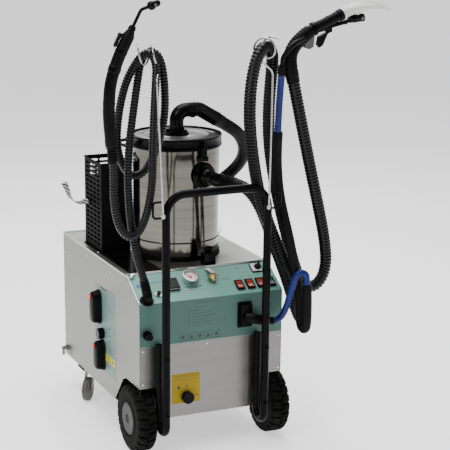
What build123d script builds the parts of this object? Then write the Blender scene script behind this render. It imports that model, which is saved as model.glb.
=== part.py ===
from build123d import *
import math
import os

# Wheeled steam and wet-vacuum cleaning machine, in millimetres.
# Origin on the floor under the middle of the cabinet: +X to the right of the console, +Y to the rear, +Z up.

# ---------------------------------------------------------------- driving dimensions
cabinet_width = 580.0
cabinet_depth = 880.0
cabinet_top = 668.0
cabinet_bottom = 137.0
sheet = 2.0
half_width = cabinet_width / 2
half_depth = cabinet_depth / 2

slope_foot_z = 590.0
slope_run = 130.0
console_bottom = 425.0

wheel_radius = 128.0
wheel_width = 76.0
wheel_x = 274.0
wheel_y = -369.0
axle_radius = 10.0
arch_top = 263.0
arch_start_y = -173.0
wheel_room_x = 168.0
rim_radius = 62.0
running_fit = 0.05

caster_x = 248.0
caster_y = 236.0
caster_trail = (-26.0, -34.0)
caster_wheel_radius = 50.0
caster_wheel_width = 24.0
caster_plate_z = 131.0

handle_left = -219.0
handle_right = 181.0
handle_front = -525.0
handle_rear = -458.0
handle_top = 1010.0
handle_foot = 105.0
handle_radius = 15.0
handle_wall = 2.0
handle_inner_top = 430.0

drum_x = 20.0
drum_y = -35.0
drum_radius = 168.0
drum_wall = 2.0
drum_top = 1110.0
lid_ring_radius = 177.0
lid_bottom = 1095.0
lid_top = 1140.0
lid_plate_top = 1132.0
body_gap = 0.4

stand_y = -546.0
stand_wire = 3.5
pigtail_radius = 38.0
pigtail_pitch = 50.0
pigtail_turns = 1.6
pigtail_steps = 16

vacuum_hose_radius = 22.5
loop_hose_radius = 25.0
steam_hose_radius = 15.0
black_line_radius = 18.0
blue_line_radius = 12.5

slope_angle = math.atan2(cabinet_top - slope_foot_z, slope_run)
slope = Plane(
    origin=(0, -half_depth, slope_foot_z),
    x_dir=(1, 0, 0),
    z_dir=(0, -math.sin(slope_angle), math.cos(slope_angle)),
)
front_face = Plane(origin=(0, -half_depth, 0), x_dir=(1, 0, 0), z_dir=(0, -1, 0))
left_face = Plane(origin=(-half_width, 0, 0), x_dir=(0, -1, 0), z_dir=(-1, 0, 0))

bottom_up = (Align.CENTER, Align.CENTER, Align.MIN)
top_down = (Align.CENTER, Align.CENTER, Align.MAX)

os.makedirs("parts", exist_ok=True)


# ---------------------------------------------------------------- helpers
def save(part, name):
    """Label a finished piece and write its STEP file."""
    part.label = name
    export_step(part, f"parts/{name}.step")


def bar(start, end, radius):
    """A round bar from one point to another, added to the part being built."""
    run = Vector(*end) - Vector(*start)
    with Locations(Plane(origin=start, z_dir=run).location):
        Cylinder(radius, run.length, align=bottom_up)


def pipe(points, bends, radius, bore=0.0):
    """A round bar or tube along straight runs joined by tangent arcs."""
    with BuildLine(mode=Mode.PRIVATE) as route:
        FilletPolyline(*points, radius=bends)
    with BuildSketch(Plane(origin=points[0], z_dir=route.line % 0), mode=Mode.PRIVATE) as section:
        Circle(radius)
        if bore:
            Circle(bore, mode=Mode.SUBTRACT)
    sweep(sections=section.sketch, path=route.line)


def easy_bends(points):
    """Radius of each corner of a hose: as large as the two runs beside it allow."""
    share = 0.45
    radii = []
    for before, corner, after in zip(points, points[1:], points[2:]):
        run_in = Vector(*corner) - Vector(*before)
        run_out = Vector(*after) - Vector(*corner)
        half_turn = math.radians(run_in.get_angle(run_out)) / 2
        radii.append(share * min(run_in.length, run_out.length) / math.tan(half_turn))
    return radii


def hose(points, radius, name):
    """One free hose: a plain tube on its route, with its radii and its volume printed."""
    bends = easy_bends(points)
    with BuildPart() as tube:
        pipe(points, bends, radius)
    with BuildLine() as route:
        FilletPolyline(*points, radius=bends)
    length = sum(edge.length for edge in route.edges())
    tube_volume = math.pi * radius**2 * length
    smallest = min(bends) / (2 * radius)
    print(f"{name}: length {length:.0f}, volume ratio {tube.part.volume / tube_volume:.4f}")
    print(f"  smallest bend {smallest:.2f} diameters; bends {[round(bend) for bend in bends]}")
    save(tube.part, name)


# ---------------------------------------------------------------- chassis
tray_rear_y = -228.0
tray_thickness = 6.0
bracket_x = 199.0
bracket_front_y = -402.0
beam_bottom = 268.0
beam_height = 30.0
axle_end = 304.0
axle_nut_radius = 14.0
axle_nut_length = 8.0
stem_radius = 6.0

with BuildPart() as base_frame:
    with BuildSketch(Plane.XY.offset(cabinet_bottom)):
        with Locations((0, (tray_rear_y + half_depth - sheet) / 2)):
            Rectangle(cabinet_width - 2 * sheet, half_depth - sheet - tray_rear_y)
        with Locations((0, (tray_rear_y - half_depth + sheet) / 2)):
            Rectangle(2 * wheel_room_x - 10, half_depth - sheet + tray_rear_y)
    extrude(amount=tray_thickness)
    for side in (-1, 1):
        with BuildSketch(Plane.YZ.offset(side * bracket_x)):
            with BuildLine():
                Polyline(
                    (bracket_front_y, beam_bottom + beam_height),
                    (bracket_front_y, wheel_radius),
                    (wheel_y - 16, wheel_radius - 24),
                    (wheel_y + 16, wheel_radius - 24),
                    (tray_rear_y + 8, cabinet_bottom),
                    (tray_rear_y + 8, beam_bottom + beam_height),
                    close=True,
                )
            make_face()
        extrude(amount=3, both=True)
        with Locations((side * caster_x, caster_y, caster_plate_z)):
            Box(90, 70, cabinet_bottom - caster_plate_z, align=bottom_up)
        with Locations((side * caster_x, caster_y, caster_plate_z)):
            Cylinder(stem_radius + running_fit, 20, align=bottom_up, mode=Mode.SUBTRACT)
    with Locations((0, wheel_y, beam_bottom)):
        Box(2 * bracket_x, 40, beam_height, align=bottom_up)
    bar((-axle_end, wheel_y, wheel_radius), (axle_end, wheel_y, wheel_radius), axle_radius)
    for side in (-1, 1):
        nut_start = (side * axle_end, wheel_y, wheel_radius)
        nut_end = (side * (axle_end + axle_nut_length), wheel_y, wheel_radius)
        bar(nut_start, nut_end, axle_nut_radius)
save(base_frame.part, "base_frame")

# ---------------------------------------------------------------- cabinet panels
lip_seam_z = cabinet_top - 8.0
label_slot_y = -52.0
label_slot_z = 549.0

for side, name in ((-1, "left_side_panel"), (1, "right_side_panel")):
    with BuildPart() as side_panel:
        with BuildSketch(Plane.YZ.offset(side * (half_width - sheet / 2))):
            with BuildLine():
                Line((half_depth, cabinet_bottom), (half_depth, lip_seam_z))
                Line((half_depth, lip_seam_z), (-half_depth + slope_run, lip_seam_z))
                Line((-half_depth + slope_run, lip_seam_z), (-half_depth, slope_foot_z - 5))
                Line((-half_depth, slope_foot_z - 5), (-half_depth, arch_top))
                Line((-half_depth, arch_top), (-296, arch_top))
                Line((-296, arch_top), (-262, arch_top - 16))
                Line((-262, arch_top - 16), (arch_start_y, cabinet_bottom))
                Line((arch_start_y, cabinet_bottom), (half_depth, cabinet_bottom))
            make_face()
        extrude(amount=sheet / 2, both=True)
        if side < 0:
            with Locations((-half_width, label_slot_y, label_slot_z)):
                Box(3 * sheet, 100, 5, mode=Mode.SUBTRACT)
    save(side_panel.part, name)

with BuildPart() as rear_panel:
    with BuildSketch(Plane.XZ.offset(-half_depth)):
        with Locations((0, (cabinet_bottom + lip_seam_z) / 2)):
            Rectangle(cabinet_width - 2 * sheet, lip_seam_z - cabinet_bottom)
        for row in range(8):
            with Locations((-150, 220 + 18 * row), (150, 220 + 18 * row)):
                SlotOverall(120, 6, mode=Mode.SUBTRACT)
    extrude(amount=sheet)
save(rear_panel.part, "rear_panel")

with BuildPart() as lower_front_panel:
    with BuildSketch(front_face):
        with Locations((0, (console_bottom + arch_top) / 2)):
            Rectangle(cabinet_width - 2 * sheet, console_bottom - arch_top)
        with Locations((0, (arch_top + cabinet_bottom) / 2)):
            Rectangle(2 * wheel_room_x, arch_top - cabinet_bottom)
    extrude(amount=-sheet)
save(lower_front_panel.part, "lower_front_panel")

# The console is one sheet bent over the front edge, with openings for the four rockers.
sheet_drop = sheet / math.cos(slope_angle)
rocker_xs = (128.0, 171.0, 214.0, 257.0)
rocker_s = 42.0
rocker_wide = 21.0
rocker_long = 35.0
rocker_play = 0.6

with BuildPart() as control_console:
    with BuildSketch(Plane.YZ):
        with BuildLine():
            inner_y = -half_depth + sheet
            inner_z = slope_foot_z + sheet * math.tan(slope_angle) - sheet_drop
            Polyline(
                (-half_depth, console_bottom),
                (inner_y, console_bottom),
                (inner_y, inner_z),
                (-half_depth + slope_run, cabinet_top - sheet_drop),
                (-half_depth + slope_run, cabinet_top),
                (-half_depth, slope_foot_z),
                close=True,
            )
        make_face()
    extrude(amount=half_width - sheet, both=True)
    with BuildSketch(slope.offset(sheet)):
        with Locations(*[(x, rocker_s) for x in rocker_xs]):
            Rectangle(rocker_wide + 2, rocker_long + 2)
    extrude(amount=-3 * sheet, mode=Mode.SUBTRACT)
save(control_console.part, "control_console")

# Top cover with folded side and rear lips, a raised front lip and the spigot of the suction hose.
port_x = 170.0
port_y = 300.0
port_top = 700.0
port_radius = 31.0

with BuildPart() as top_cover:
    with BuildSketch(Plane.XY.offset(cabinet_top - sheet)):
        with Locations((0, slope_run / 2)):
            Rectangle(cabinet_width, cabinet_depth - slope_run)
    extrude(amount=sheet)
    for side in (-1, 1):
        with Locations((side * (half_width - sheet / 2), slope_run / 2, lip_seam_z + 0.3)):
            Box(sheet, cabinet_depth - slope_run, cabinet_top - lip_seam_z - 0.3, align=bottom_up)
    with Locations((0, half_depth - sheet / 2, lip_seam_z + 0.3)):
        Box(cabinet_width, sheet, cabinet_top - lip_seam_z - 0.3, align=bottom_up)
    with Locations((0, -half_depth + slope_run + sheet / 2, cabinet_top - sheet)):
        Box(cabinet_width, sheet, 9, align=bottom_up)
    with Locations((port_x, port_y, cabinet_top)):
        Cylinder(port_radius, port_top - cabinet_top, align=bottom_up)
save(top_cover.part, "top_cover")

mat_thickness = 4.0
basket_left = -262.0
basket_right = -142.0
basket_front = 38.0
basket_rear = 235.0
with BuildPart() as top_mat:
    with BuildSketch(Plane.XY.offset(cabinet_top)):
        with Locations(((basket_left + basket_right) / 2 - 4, (basket_rear - 304) / 2)):
            Rectangle(basket_right - basket_left + 8, basket_rear + 304)
        with Locations((drum_x, drum_y)):
            Circle(drum_radius + 6, mode=Mode.SUBTRACT)
    extrude(amount=mat_thickness)
save(top_mat.part, "top_mat")

# ---------------------------------------------------------------- dirty-water drum
plinth_height = 16.0
plinth_radius = 172.0
band_z = 739.0
drum_section = Plane(origin=(drum_x, drum_y, 0), x_dir=(1, 0, 0), z_dir=(0, -1, 0))
drum_axis = Axis((drum_x, drum_y, 0), (0, 0, 1))
# The drum's section, and the pivot of the toggle latch, whose ears belong to the drum.
latch_angle = math.radians(-76.0)
latch_plane = Plane(
    origin=(drum_x, drum_y, 0),
    x_dir=(math.cos(latch_angle), math.sin(latch_angle), 0),
    z_dir=(0, 0, 1),
)
latch_out = lid_ring_radius + body_gap
latch_pivot = latch_out + 6
latch_pivot_z = 1062.0
latch_width = 26.0
latch_pin = 2.5
pin_start = tuple(latch_plane.from_local_coords((latch_pivot, -latch_width / 2 - 3, latch_pivot_z)))
pin_end = tuple(latch_plane.from_local_coords((latch_pivot, latch_width / 2 + 3, latch_pivot_z)))

with BuildPart() as drum_shell:
    with BuildSketch(drum_section):
        with BuildLine():
            Polyline(
                (0, cabinet_top),
                (plinth_radius, cabinet_top),
                (plinth_radius, cabinet_top + plinth_height),
                (drum_radius, cabinet_top + plinth_height),
                (drum_radius, band_z - 3),
                (drum_radius + 1.5, band_z),
                (drum_radius, band_z + 3),
                (drum_radius, drum_top),
                (drum_radius - drum_wall, drum_top),
                (drum_radius - drum_wall, cabinet_top + plinth_height),
                (0, cabinet_top + plinth_height),
                close=True,
            )
        make_face()
    revolve(axis=drum_axis)
    for ear in (-1, 1):
        with BuildSketch(latch_plane.offset(latch_pivot_z - 9)):
            with Locations(((drum_radius + latch_pivot + 6) / 2 - 0.5, ear * (latch_width / 2 + 2.5))):
                Rectangle(latch_pivot + 7 - drum_radius, 4)
        extrude(amount=18)
    bar(pin_start, pin_end, latch_pin)
save(drum_shell.part, "drum_shell")

lid_skirt_bore = drum_radius + 1.0
lid_plate_thickness = 5.0
elbow_flange_radius = 49.0
ear_spread = 42.0
pin_radius = 3.0
ear_x = drum_x - lid_ring_radius - 6
handle_pivot_z = 1118.0
with BuildPart() as drum_lid:
    with BuildSketch(drum_section):
        with BuildLine():
            Polyline(
                (0, lid_plate_top - lid_plate_thickness),
                (lid_skirt_bore, lid_plate_top - lid_plate_thickness),
                (lid_skirt_bore, lid_bottom),
                (lid_ring_radius, lid_bottom),
                (lid_ring_radius, lid_top),
                (lid_ring_radius - 9, lid_top),
                (lid_ring_radius - 12, lid_plate_top),
                (0, lid_plate_top),
                close=True,
            )
        make_face()
    revolve(axis=drum_axis)
    for side in (-1, 1):
        ear_y = drum_y + side * ear_spread
        with Locations((ear_x + 8, ear_y, handle_pivot_z)):
            Box(28, 6, 16)
        bar((ear_x, ear_y, handle_pivot_z), (ear_x, ear_y + side * 12, handle_pivot_z), pin_radius)
save(drum_lid.part, "drum_lid")

# Bail handle of the lid: two eyes on the lid's pins, joined by a bent grip.
eye_offset = ear_spread + 3 + body_gap
eye_width = 7.0
bail_reach = 46.0
bail_grip_radius = 6.0
with BuildPart() as lid_handle:
    for side in (-1, 1):
        eye_start = drum_y + side * eye_offset
        eye_end = eye_start + side * eye_width
        bar((ear_x, eye_start, handle_pivot_z), (ear_x, eye_end, handle_pivot_z), 8)
    arm_y = eye_offset + bail_grip_radius + 0.2
    grip_z = handle_pivot_z - 6
    bail_points = [
        (ear_x - 4, drum_y - arm_y, handle_pivot_z - 0.5),
        (ear_x - bail_reach, drum_y - arm_y, grip_z),
        (ear_x - bail_reach, drum_y + arm_y, grip_z),
        (ear_x - 4, drum_y + arm_y, handle_pivot_z - 0.5),
    ]
    pipe(bail_points, [18, 18], bail_grip_radius)
    for side in (-1, 1):
        hole_start = drum_y + side * (eye_offset - 1)
        hole_end = drum_y + side * (eye_offset + eye_width + 3)
        with BuildSketch(Plane.XZ.offset(-hole_start)):
            with Locations((ear_x, handle_pivot_z)):
                Circle(pin_radius + running_fit)
        extrude(amount=-(hole_end - hole_start), mode=Mode.SUBTRACT)
save(lid_handle.part, "lid_handle")

# Toggle latch on the drum's front, clear of the lid ring.
with BuildPart() as lid_latch:
    with BuildSketch(latch_plane.offset(latch_pivot_z)):
        with Locations((latch_out + 2.5, 0)):
            Rectangle(5, latch_width)
    extrude(amount=58)
    with BuildSketch(latch_plane.offset(lid_bottom + 10)):
        with Locations((latch_out + 8, 0)):
            Rectangle(8, 18)
    extrude(amount=22)
    eye_start = latch_plane.from_local_coords((latch_pivot, -latch_width / 2, latch_pivot_z))
    eye_end = latch_plane.from_local_coords((latch_pivot, latch_width / 2, latch_pivot_z))
    bar(tuple(eye_start), tuple(eye_end), 6)
    with Locations(Plane(origin=pin_start, z_dir=Vector(*pin_end) - Vector(*pin_start)).location):
        Cylinder(latch_pin + running_fit, latch_width + 6, align=bottom_up, mode=Mode.SUBTRACT)
save(lid_latch.part, "lid_latch")

# Suction elbow on the lid, from its flange over to the cuff of the loop hose.
elbow_radius = 28.0
elbow_points = [
    (drum_x + 3, drum_y, lid_plate_top),
    (drum_x + 3, drum_y, 1226),
    (118, -28, 1226),
    (190, -15, 1185),
]
with BuildPart() as lid_elbow:
    pipe(elbow_points, [42, 60], elbow_radius)
    with Locations((drum_x + 3, drum_y, lid_plate_top)):
        Cylinder(elbow_flange_radius, 9, align=bottom_up)
    with Locations((drum_x + 3, drum_y, lid_plate_top + 9)):
        with PolarLocations(38, 4, start_angle=45):
            Cylinder(6, 12, align=bottom_up)
save(lid_elbow.part, "lid_elbow")

# Domed inlet on the drum's front right, turned towards the vacuum hose.
inlet_z = 1000.0
inlet_direction = Vector(0.26, -0.966, 0)
inlet_root = Vector(drum_x, drum_y, inlet_z) + inlet_direction * (drum_radius + 2)
inlet_centre = inlet_root + inlet_direction * 24
vacuum_start = (120.0, -265.0, 985.0)
inlet_turn = (104.0, -233.0, 985.0)
with BuildPart() as inlet_fitting:
    bar(tuple(inlet_root), tuple(inlet_centre), 42)
    with Locations(tuple(inlet_centre)):
        Sphere(33)
    bar(tuple(inlet_centre), inlet_turn, 26)
    with Locations(inlet_turn):
        Sphere(26)
    bar(inlet_turn, vacuum_start, 26)
    with Locations((drum_x, drum_y, inlet_z)):
        Cylinder(drum_radius, 120, mode=Mode.SUBTRACT)
save(inlet_fitting.part, "inlet_fitting")

# ---------------------------------------------------------------- push handle and hose stands
rest_wire = 4.0
rest_top = 987.0
rest_bottom = 929.0
rest_reach = 36.0
with BuildPart() as push_handle:
    handle_points = [
        (handle_left, handle_rear, handle_inner_top),
        (handle_left, handle_rear, handle_foot),
        (handle_left, handle_front, handle_foot),
        (handle_left, handle_front, handle_top),
        (handle_right, handle_front, handle_top),
        (handle_right, handle_front, handle_foot),
        (handle_right, handle_rear, handle_foot),
        (handle_right, handle_rear, handle_inner_top),
    ]
    pipe(handle_points, [33, 33, 75, 75, 33, 33], handle_radius, handle_radius - handle_wall)
    for leg_x, side in ((handle_left, -1), (handle_right, 1)):
        leg_edge = leg_x + side * (handle_radius - 1)
        rest_points = [
            (leg_edge, handle_front, rest_top),
            (leg_edge + side * rest_reach, handle_front, rest_top),
            (leg_edge + side * rest_reach, handle_front, rest_bottom),
            (leg_edge, handle_front, rest_bottom),
        ]
        pipe(rest_points, [12, 12], rest_wire)
        with Locations((leg_x, handle_rear, handle_inner_top)):
            Cylinder(handle_radius, 6, align=bottom_up)
        for bolt_z in (180, 400):
            bar((leg_x, handle_rear + handle_radius - 1, bolt_z), (leg_x, -half_depth, bolt_z), 7)
save(push_handle.part, "push_handle")

# Each hose stand is a chrome rod clipped to the handle, ending in an open pigtail coil.
stand_clip_z = 930.0
pigtails = (
    ("left_hose_stand", -1, handle_left - 19, -262.0, (-268.0, -488.0, 1500.0)),
    ("right_hose_stand", 1, handle_right - 6, 180.0, (158.0, -533.0, 1510.0)),
)
for name, side, foot_x, head_x, centre in pigtails:
    coil_axis = Vector(side * 0.87, 0.5, 0)
    coil_start = Vector(*centre) - coil_axis * (pigtail_pitch * 0.7)
    coil_plane = Plane(origin=tuple(coil_start), x_dir=(0, 0, -1), z_dir=tuple(coil_axis))
    coil_points = []
    for step in range(pigtail_steps + 1):
        share = pigtail_turns * step / pigtail_steps
        turned = 2 * math.pi * share
        spot = (pigtail_radius * math.cos(turned), pigtail_radius * math.sin(turned), pigtail_pitch * share)
        coil_points.append(tuple(coil_plane.from_local_coords(spot)))
    coil_foot = coil_points[0]
    with BuildPart() as hose_stand:
        pipe(coil_points, easy_bends(coil_points), stand_wire)
        rod_points = [
            (foot_x, stand_y, stand_clip_z),
            (head_x, stand_y, coil_foot[2] - 45),
            coil_foot,
        ]
        pipe(rod_points, [30], stand_wire)
        with Locations(coil_foot):
            Sphere(stand_wire + 0.5)
        with Locations((foot_x, handle_front - handle_radius - 3, stand_clip_z + 8)):
            Box(14, 6, 12)
    save(hose_stand.part, name)

# ---------------------------------------------------------------- front wheels
tyre_shoulder = 16.0
hub_radius = 58.0
hub_proud = 3.0
for side, end in ((-1, "left"), (1, "right")):
    wheel_plane = Plane(origin=(side * wheel_x, wheel_y, wheel_radius), x_dir=(0, 1, 0), z_dir=(side, 0, 0))
    with BuildPart() as tyre:
        with BuildSketch(Plane.XZ):
            with BuildLine():
                Polyline(
                    (rim_radius, -wheel_width / 2 + 8),
                    (80, -wheel_width / 2),
                    (wheel_radius - tyre_shoulder, -wheel_width / 2),
                    (wheel_radius - 4, -wheel_width / 2 + tyre_shoulder),
                    (wheel_radius, 0),
                    (wheel_radius - 4, wheel_width / 2 - tyre_shoulder),
                    (wheel_radius - tyre_shoulder, wheel_width / 2),
                    (80, wheel_width / 2),
                    (rim_radius, wheel_width / 2 - 8),
                    close=True,
                )
            make_face()
        revolve(axis=Axis.Z)
    save(wheel_plane.location * tyre.part, f"tyre_{end}")
    with BuildPart() as rim:
        with BuildSketch(Plane.XY.offset(-wheel_width / 2 + 8)):
            Circle(rim_radius)
        extrude(amount=wheel_width - 16)
        with BuildSketch(Plane.XY.offset(-wheel_width / 2 + 2)):
            Circle(hub_radius)
        extrude(amount=wheel_width - 4 + hub_proud)
        with BuildSketch(Plane.XY.offset(wheel_width / 2 - 12)):
            Circle(axle_nut_radius + 3)
        extrude(amount=20, mode=Mode.SUBTRACT)
        with BuildSketch(Plane.XY.offset(-wheel_width)):
            Circle(axle_radius + running_fit)
        extrude(amount=2 * wheel_width, mode=Mode.SUBTRACT)
    save(wheel_plane.location * rim.part, f"rim_{end}")

# ---------------------------------------------------------------- rear swivel casters
fork_top = caster_plate_z - 0.5
fork_gap = caster_wheel_width / 2 + 2
bolt_radius = 4.0
trail = Vector(*caster_trail, 0)
axle_line = Vector(-trail.Y, trail.X, 0).normalized()
for side, end in ((-1, "left"), (1, "right")):
    swivel = Vector(side * caster_x, caster_y, 0)
    hub = swivel + trail + Vector(0, 0, caster_wheel_radius)
    hub_plane = Plane(origin=tuple(hub), x_dir=tuple(trail.normalized() * -1), z_dir=tuple(axle_line))
    with BuildPart() as fork:
        with Locations((swivel.X, swivel.Y, fork_top)):
            Cylinder(30, 14, align=top_down)
        with Locations((swivel.X, swivel.Y, fork_top)):
            Cylinder(stem_radius, 12, align=bottom_up)
        for cheek in (-1, 1):
            with BuildSketch(hub_plane.offset(cheek * (fork_gap + 2))):
                Circle(11)
                with BuildLine():
                    Polyline((20, 68), (64, 68), (9, -6), (-9, 6), close=True)
                make_face()
            extrude(amount=1.5, both=True)
        with Locations(hub_plane.offset(-fork_gap - 8).location):
            Cylinder(bolt_radius, 2 * fork_gap + 16, align=bottom_up)
        with BuildSketch(Plane.XY.offset(fork_top - 18)):
            with Locations((swivel.X, swivel.Y)):
                Rectangle(2 * fork_gap + 7, 52, rotation=math.degrees(math.atan2(trail.Y, trail.X)) - 90)
        extrude(amount=6)
    save(fork.part, f"caster_fork_{end}")
    with BuildPart() as caster_wheel:
        with BuildSketch(hub_plane.offset(-caster_wheel_width / 2)):
            Circle(caster_wheel_radius)
            Circle(bolt_radius + running_fit, mode=Mode.SUBTRACT)
        extrude(amount=caster_wheel_width)
        outer_edges = caster_wheel.edges().filter_by(GeomType.CIRCLE).sort_by(SortBy.RADIUS)[-2:]
        fillet(outer_edges, 5)
    save(caster_wheel.part, f"caster_wheel_{end}")

# ---------------------------------------------------------------- console fittings
display_x = -131.0
display_s = 80.0
rotary_x = 228.0
rotary_s = 122.0
rotary_plate = 46.0
socket_x = 133.0
socket_z = 508.0
gland_x = -255.0
gland_s = 17.0
toggle_x = -201.0
toggle_s = 40.0
steam_start = (gland_x, -435.0, 618.0)
steam_run = Vector(-20, -11.8, 73.6).normalized()
gland_root = tuple(Vector(*steam_start) - steam_run * 15)

with BuildPart() as console_bezels:
    with BuildSketch(slope):
        for x in rocker_xs:
            with Locations((x, rocker_s)):
                Rectangle(rocker_wide + 8, rocker_long + 9)
                Rectangle(rocker_wide + 2, rocker_long + 2, mode=Mode.SUBTRACT)
    extrude(amount=4)
    with BuildSketch(slope):
        with Locations((rotary_x, rotary_s)):
            RectangleRounded(rotary_plate, rotary_plate, 4)
    extrude(amount=4)
    with BuildSketch(slope):
        with Locations((display_x, display_s)):
            RectangleRounded(44, 56, 3)
    extrude(amount=9)
    with BuildSketch(slope):
        with Locations((toggle_x, toggle_s)):
            Circle(8)
    extrude(amount=14)
    with BuildSketch(front_face):
        with Locations((socket_x, socket_z)):
            RectangleRounded(57, 98, 3)
    extrude(amount=5)
    with BuildSketch(slope):
        with Locations((gland_x, gland_s)):
            RegularPolygon(20, 6)
    extrude(amount=9)
    bar(gland_root, steam_start, steam_hose_radius + 1)
save(console_bezels.part, "console_bezels")

# Rockers: slightly peaked caps that tip in their frames about a pin above the console.
rocker_pivot_height = 3.0
rocker_pin = 1.4
for index, x in enumerate(rocker_xs):
    rocker_plane = Plane(
        origin=tuple(slope.from_local_coords((x, rocker_s, rocker_pivot_height))),
        x_dir=(0, math.cos(slope_angle), math.sin(slope_angle)),
        z_dir=(1, 0, 0),
    )
    with BuildPart() as rocker:
        with BuildSketch(rocker_plane):
            with BuildLine():
                Polyline(
                    (-rocker_long / 2, -2),
                    (rocker_long / 2, -2),
                    (rocker_long / 2, 4),
                    (0, 2),
                    (-rocker_long / 2, 7),
                    close=True,
                )
            make_face()
        extrude(amount=rocker_wide / 2, both=True)
        with BuildSketch(rocker_plane):
            Circle(rocker_pin)
        extrude(amount=rocker_wide / 2 + rocker_play, both=True)
    save(rocker.part, f"rocker_{index + 1}")

knob_gap = 0.4
with BuildPart() as rotary_knob:
    with BuildSketch(slope.offset(4 + knob_gap)):
        with Locations((rotary_x + 5, rotary_s)):
            Circle(13)
    extrude(amount=6)
    with BuildSketch(slope.offset(10 + knob_gap)):
        with Locations((rotary_x + 5, rotary_s)):
            SlotOverall(28, 9, rotation=60)
    extrude(amount=13)
save(rotary_knob.part, "rotary_knob")

# Pressure gauge: a round case with a bezel, open in front of the dial, and its needle.
gauge_x = -54.0
gauge_s = 100.0
gauge_radius = 31.5
dial_height = 12.0
with BuildPart() as gauge_case:
    with BuildSketch(slope):
        with Locations((gauge_x, gauge_s)):
            Circle(gauge_radius)
    extrude(amount=20)
    with BuildSketch(slope.offset(dial_height)):
        with Locations((gauge_x, gauge_s)):
            Circle(gauge_radius - 4)
    extrude(amount=20, mode=Mode.SUBTRACT)
    with BuildSketch(slope.offset(dial_height)):
        with Locations((gauge_x, gauge_s)):
            Circle(1.5)
    extrude(amount=4)
save(gauge_case.part, "gauge_case")

needle_plane = Plane(
    origin=tuple(slope.from_local_coords((gauge_x, gauge_s, dial_height + 1.2))),
    x_dir=(1, 0, 0),
    z_dir=tuple(slope.z_dir),
)
with BuildPart() as gauge_needle:
    with BuildSketch(needle_plane):
        Circle(4.5)
        with BuildLine():
            Polyline((-2, -1.5), (2, 1.5), (-15.5, 15.5), close=True)
        make_face()
        Circle(1.5 + running_fit, mode=Mode.SUBTRACT)
    extrude(amount=1.2)
save(gauge_needle.part, "gauge_needle")

# Steam ball valve standing on the console, its lever on top, and the tube to the filler box.
valve_x = 31.0
valve_s = 79.0
valve_base = slope.from_local_coords((valve_x, valve_s, 0))
valve_top_z = valve_base.Z + 34
with BuildPart() as valve_body:
    with BuildSketch(slope):
        with Locations((valve_x, valve_s)):
            Circle(11)
    extrude(amount=14)
    with Locations((valve_x, valve_base.Y, valve_base.Z + 10)):
        Cylinder(12, 18, align=bottom_up)
    bar(
        (valve_x - 17, valve_base.Y, valve_base.Z + 19),
        (valve_x + 17, valve_base.Y, valve_base.Z + 19),
        8,
    )
    with Locations((valve_x, valve_base.Y, valve_base.Z + 28)):
        Cylinder(3, 16, align=bottom_up)
save(valve_body.part, "valve_body")

with BuildPart() as valve_lever:
    with BuildSketch(Plane.XY.offset(valve_top_z)):
        with Locations((valve_x, valve_base.Y)):
            Circle(8)
        with Locations((valve_x, valve_base.Y + 28)):
            RectangleRounded(18, 56, 5)
        with Locations((valve_x, valve_base.Y)):
            Circle(3 + running_fit, mode=Mode.SUBTRACT)
    extrude(amount=3)
save(valve_lever.part, "valve_lever")

filler_x = 58.0
filler_y = -268.0
with BuildPart() as filler_box:
    with Locations((filler_x, filler_y, cabinet_top)):
        Box(44, 40, 46, align=bottom_up)
    with BuildSketch(Plane.XY.offset(cabinet_top + 46)):
        with Locations((filler_x, filler_y)):
            Circle(13)
    with BuildSketch(Plane.XY.offset(cabinet_top + 66)):
        with Locations((filler_x, filler_y)):
            Circle(21)
    loft()
    with Locations((filler_x, filler_y, cabinet_top + 30)):
        Cylinder(10, 60, align=bottom_up, mode=Mode.SUBTRACT)
save(filler_box.part, "filler_box")

# Front knobs: a cap on the console's front and the regulator on the lower panel.
cap_x = -261.0
cap_z = 472.0
with BuildPart() as front_cap:
    with BuildSketch(front_face.offset(knob_gap)):
        with Locations((cap_x, cap_z)):
            Circle(17.5)
    extrude(amount=12)
    with BuildSketch(front_face.offset(12 + knob_gap)):
        with Locations((cap_x, cap_z)):
            Circle(12)
    extrude(amount=22)
save(front_cap.part, "front_cap")

regulator_x = -101.0
regulator_z = 211.0
with BuildPart() as regulator_knob:
    with BuildSketch(front_face.offset(knob_gap)):
        with Locations((regulator_x, regulator_z)):
            Circle(23)
    extrude(amount=8)
    with BuildSketch(front_face.offset(8 + knob_gap)):
        with Locations((regulator_x, regulator_z)):
            SlotOverall(44, 15, rotation=90)
    extrude(amount=13)
save(regulator_knob.part, "regulator_knob")

# ---------------------------------------------------------------- left side outlets
# Local coordinates on the left face: +x towards the front (-Y), +y up.
outlet_depth = 34.0
outlets = ((0.0, 395.0, 533.0), (38.0, 214.0, 340.0))
outlet_wide = 65.0
button_radius = 9.0
button_drop = 26.0
button_well = 12.0
with BuildPart() as side_outlets:
    for along, low, high in outlets:
        with BuildSketch(left_face):
            with Locations((along, (low + high) / 2)):
                RectangleRounded(outlet_wide, high - low, 30)
        extrude(amount=8)
        with BuildSketch(left_face.offset(8)):
            with Locations((along, (low + high) / 2)):
                RectangleRounded(outlet_wide - 10, high - low - 10, 25)
        extrude(amount=outlet_depth - 8)
        with BuildSketch(left_face.offset(outlet_depth)):
            with Locations((along, (low + high) / 2 - 16)):
                Circle(15)
        extrude(amount=-22, mode=Mode.SUBTRACT)
        with BuildSketch(left_face.offset(outlet_depth)):
            with Locations((along - 8, high - button_drop)):
                Circle(button_radius + 0.4)
        extrude(amount=-button_well, mode=Mode.SUBTRACT)
save(side_outlets.part, "side_outlets")

for (along, low, high), name in zip(outlets, ("outlet_button_upper", "outlet_button_lower")):
    with BuildPart() as outlet_button:
        with BuildSketch(left_face.offset(outlet_depth - button_well + 5)):
            with Locations((along - 8, high - button_drop)):
                Circle(button_radius)
        extrude(amount=button_well)
    save(outlet_button.part, name)

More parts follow.
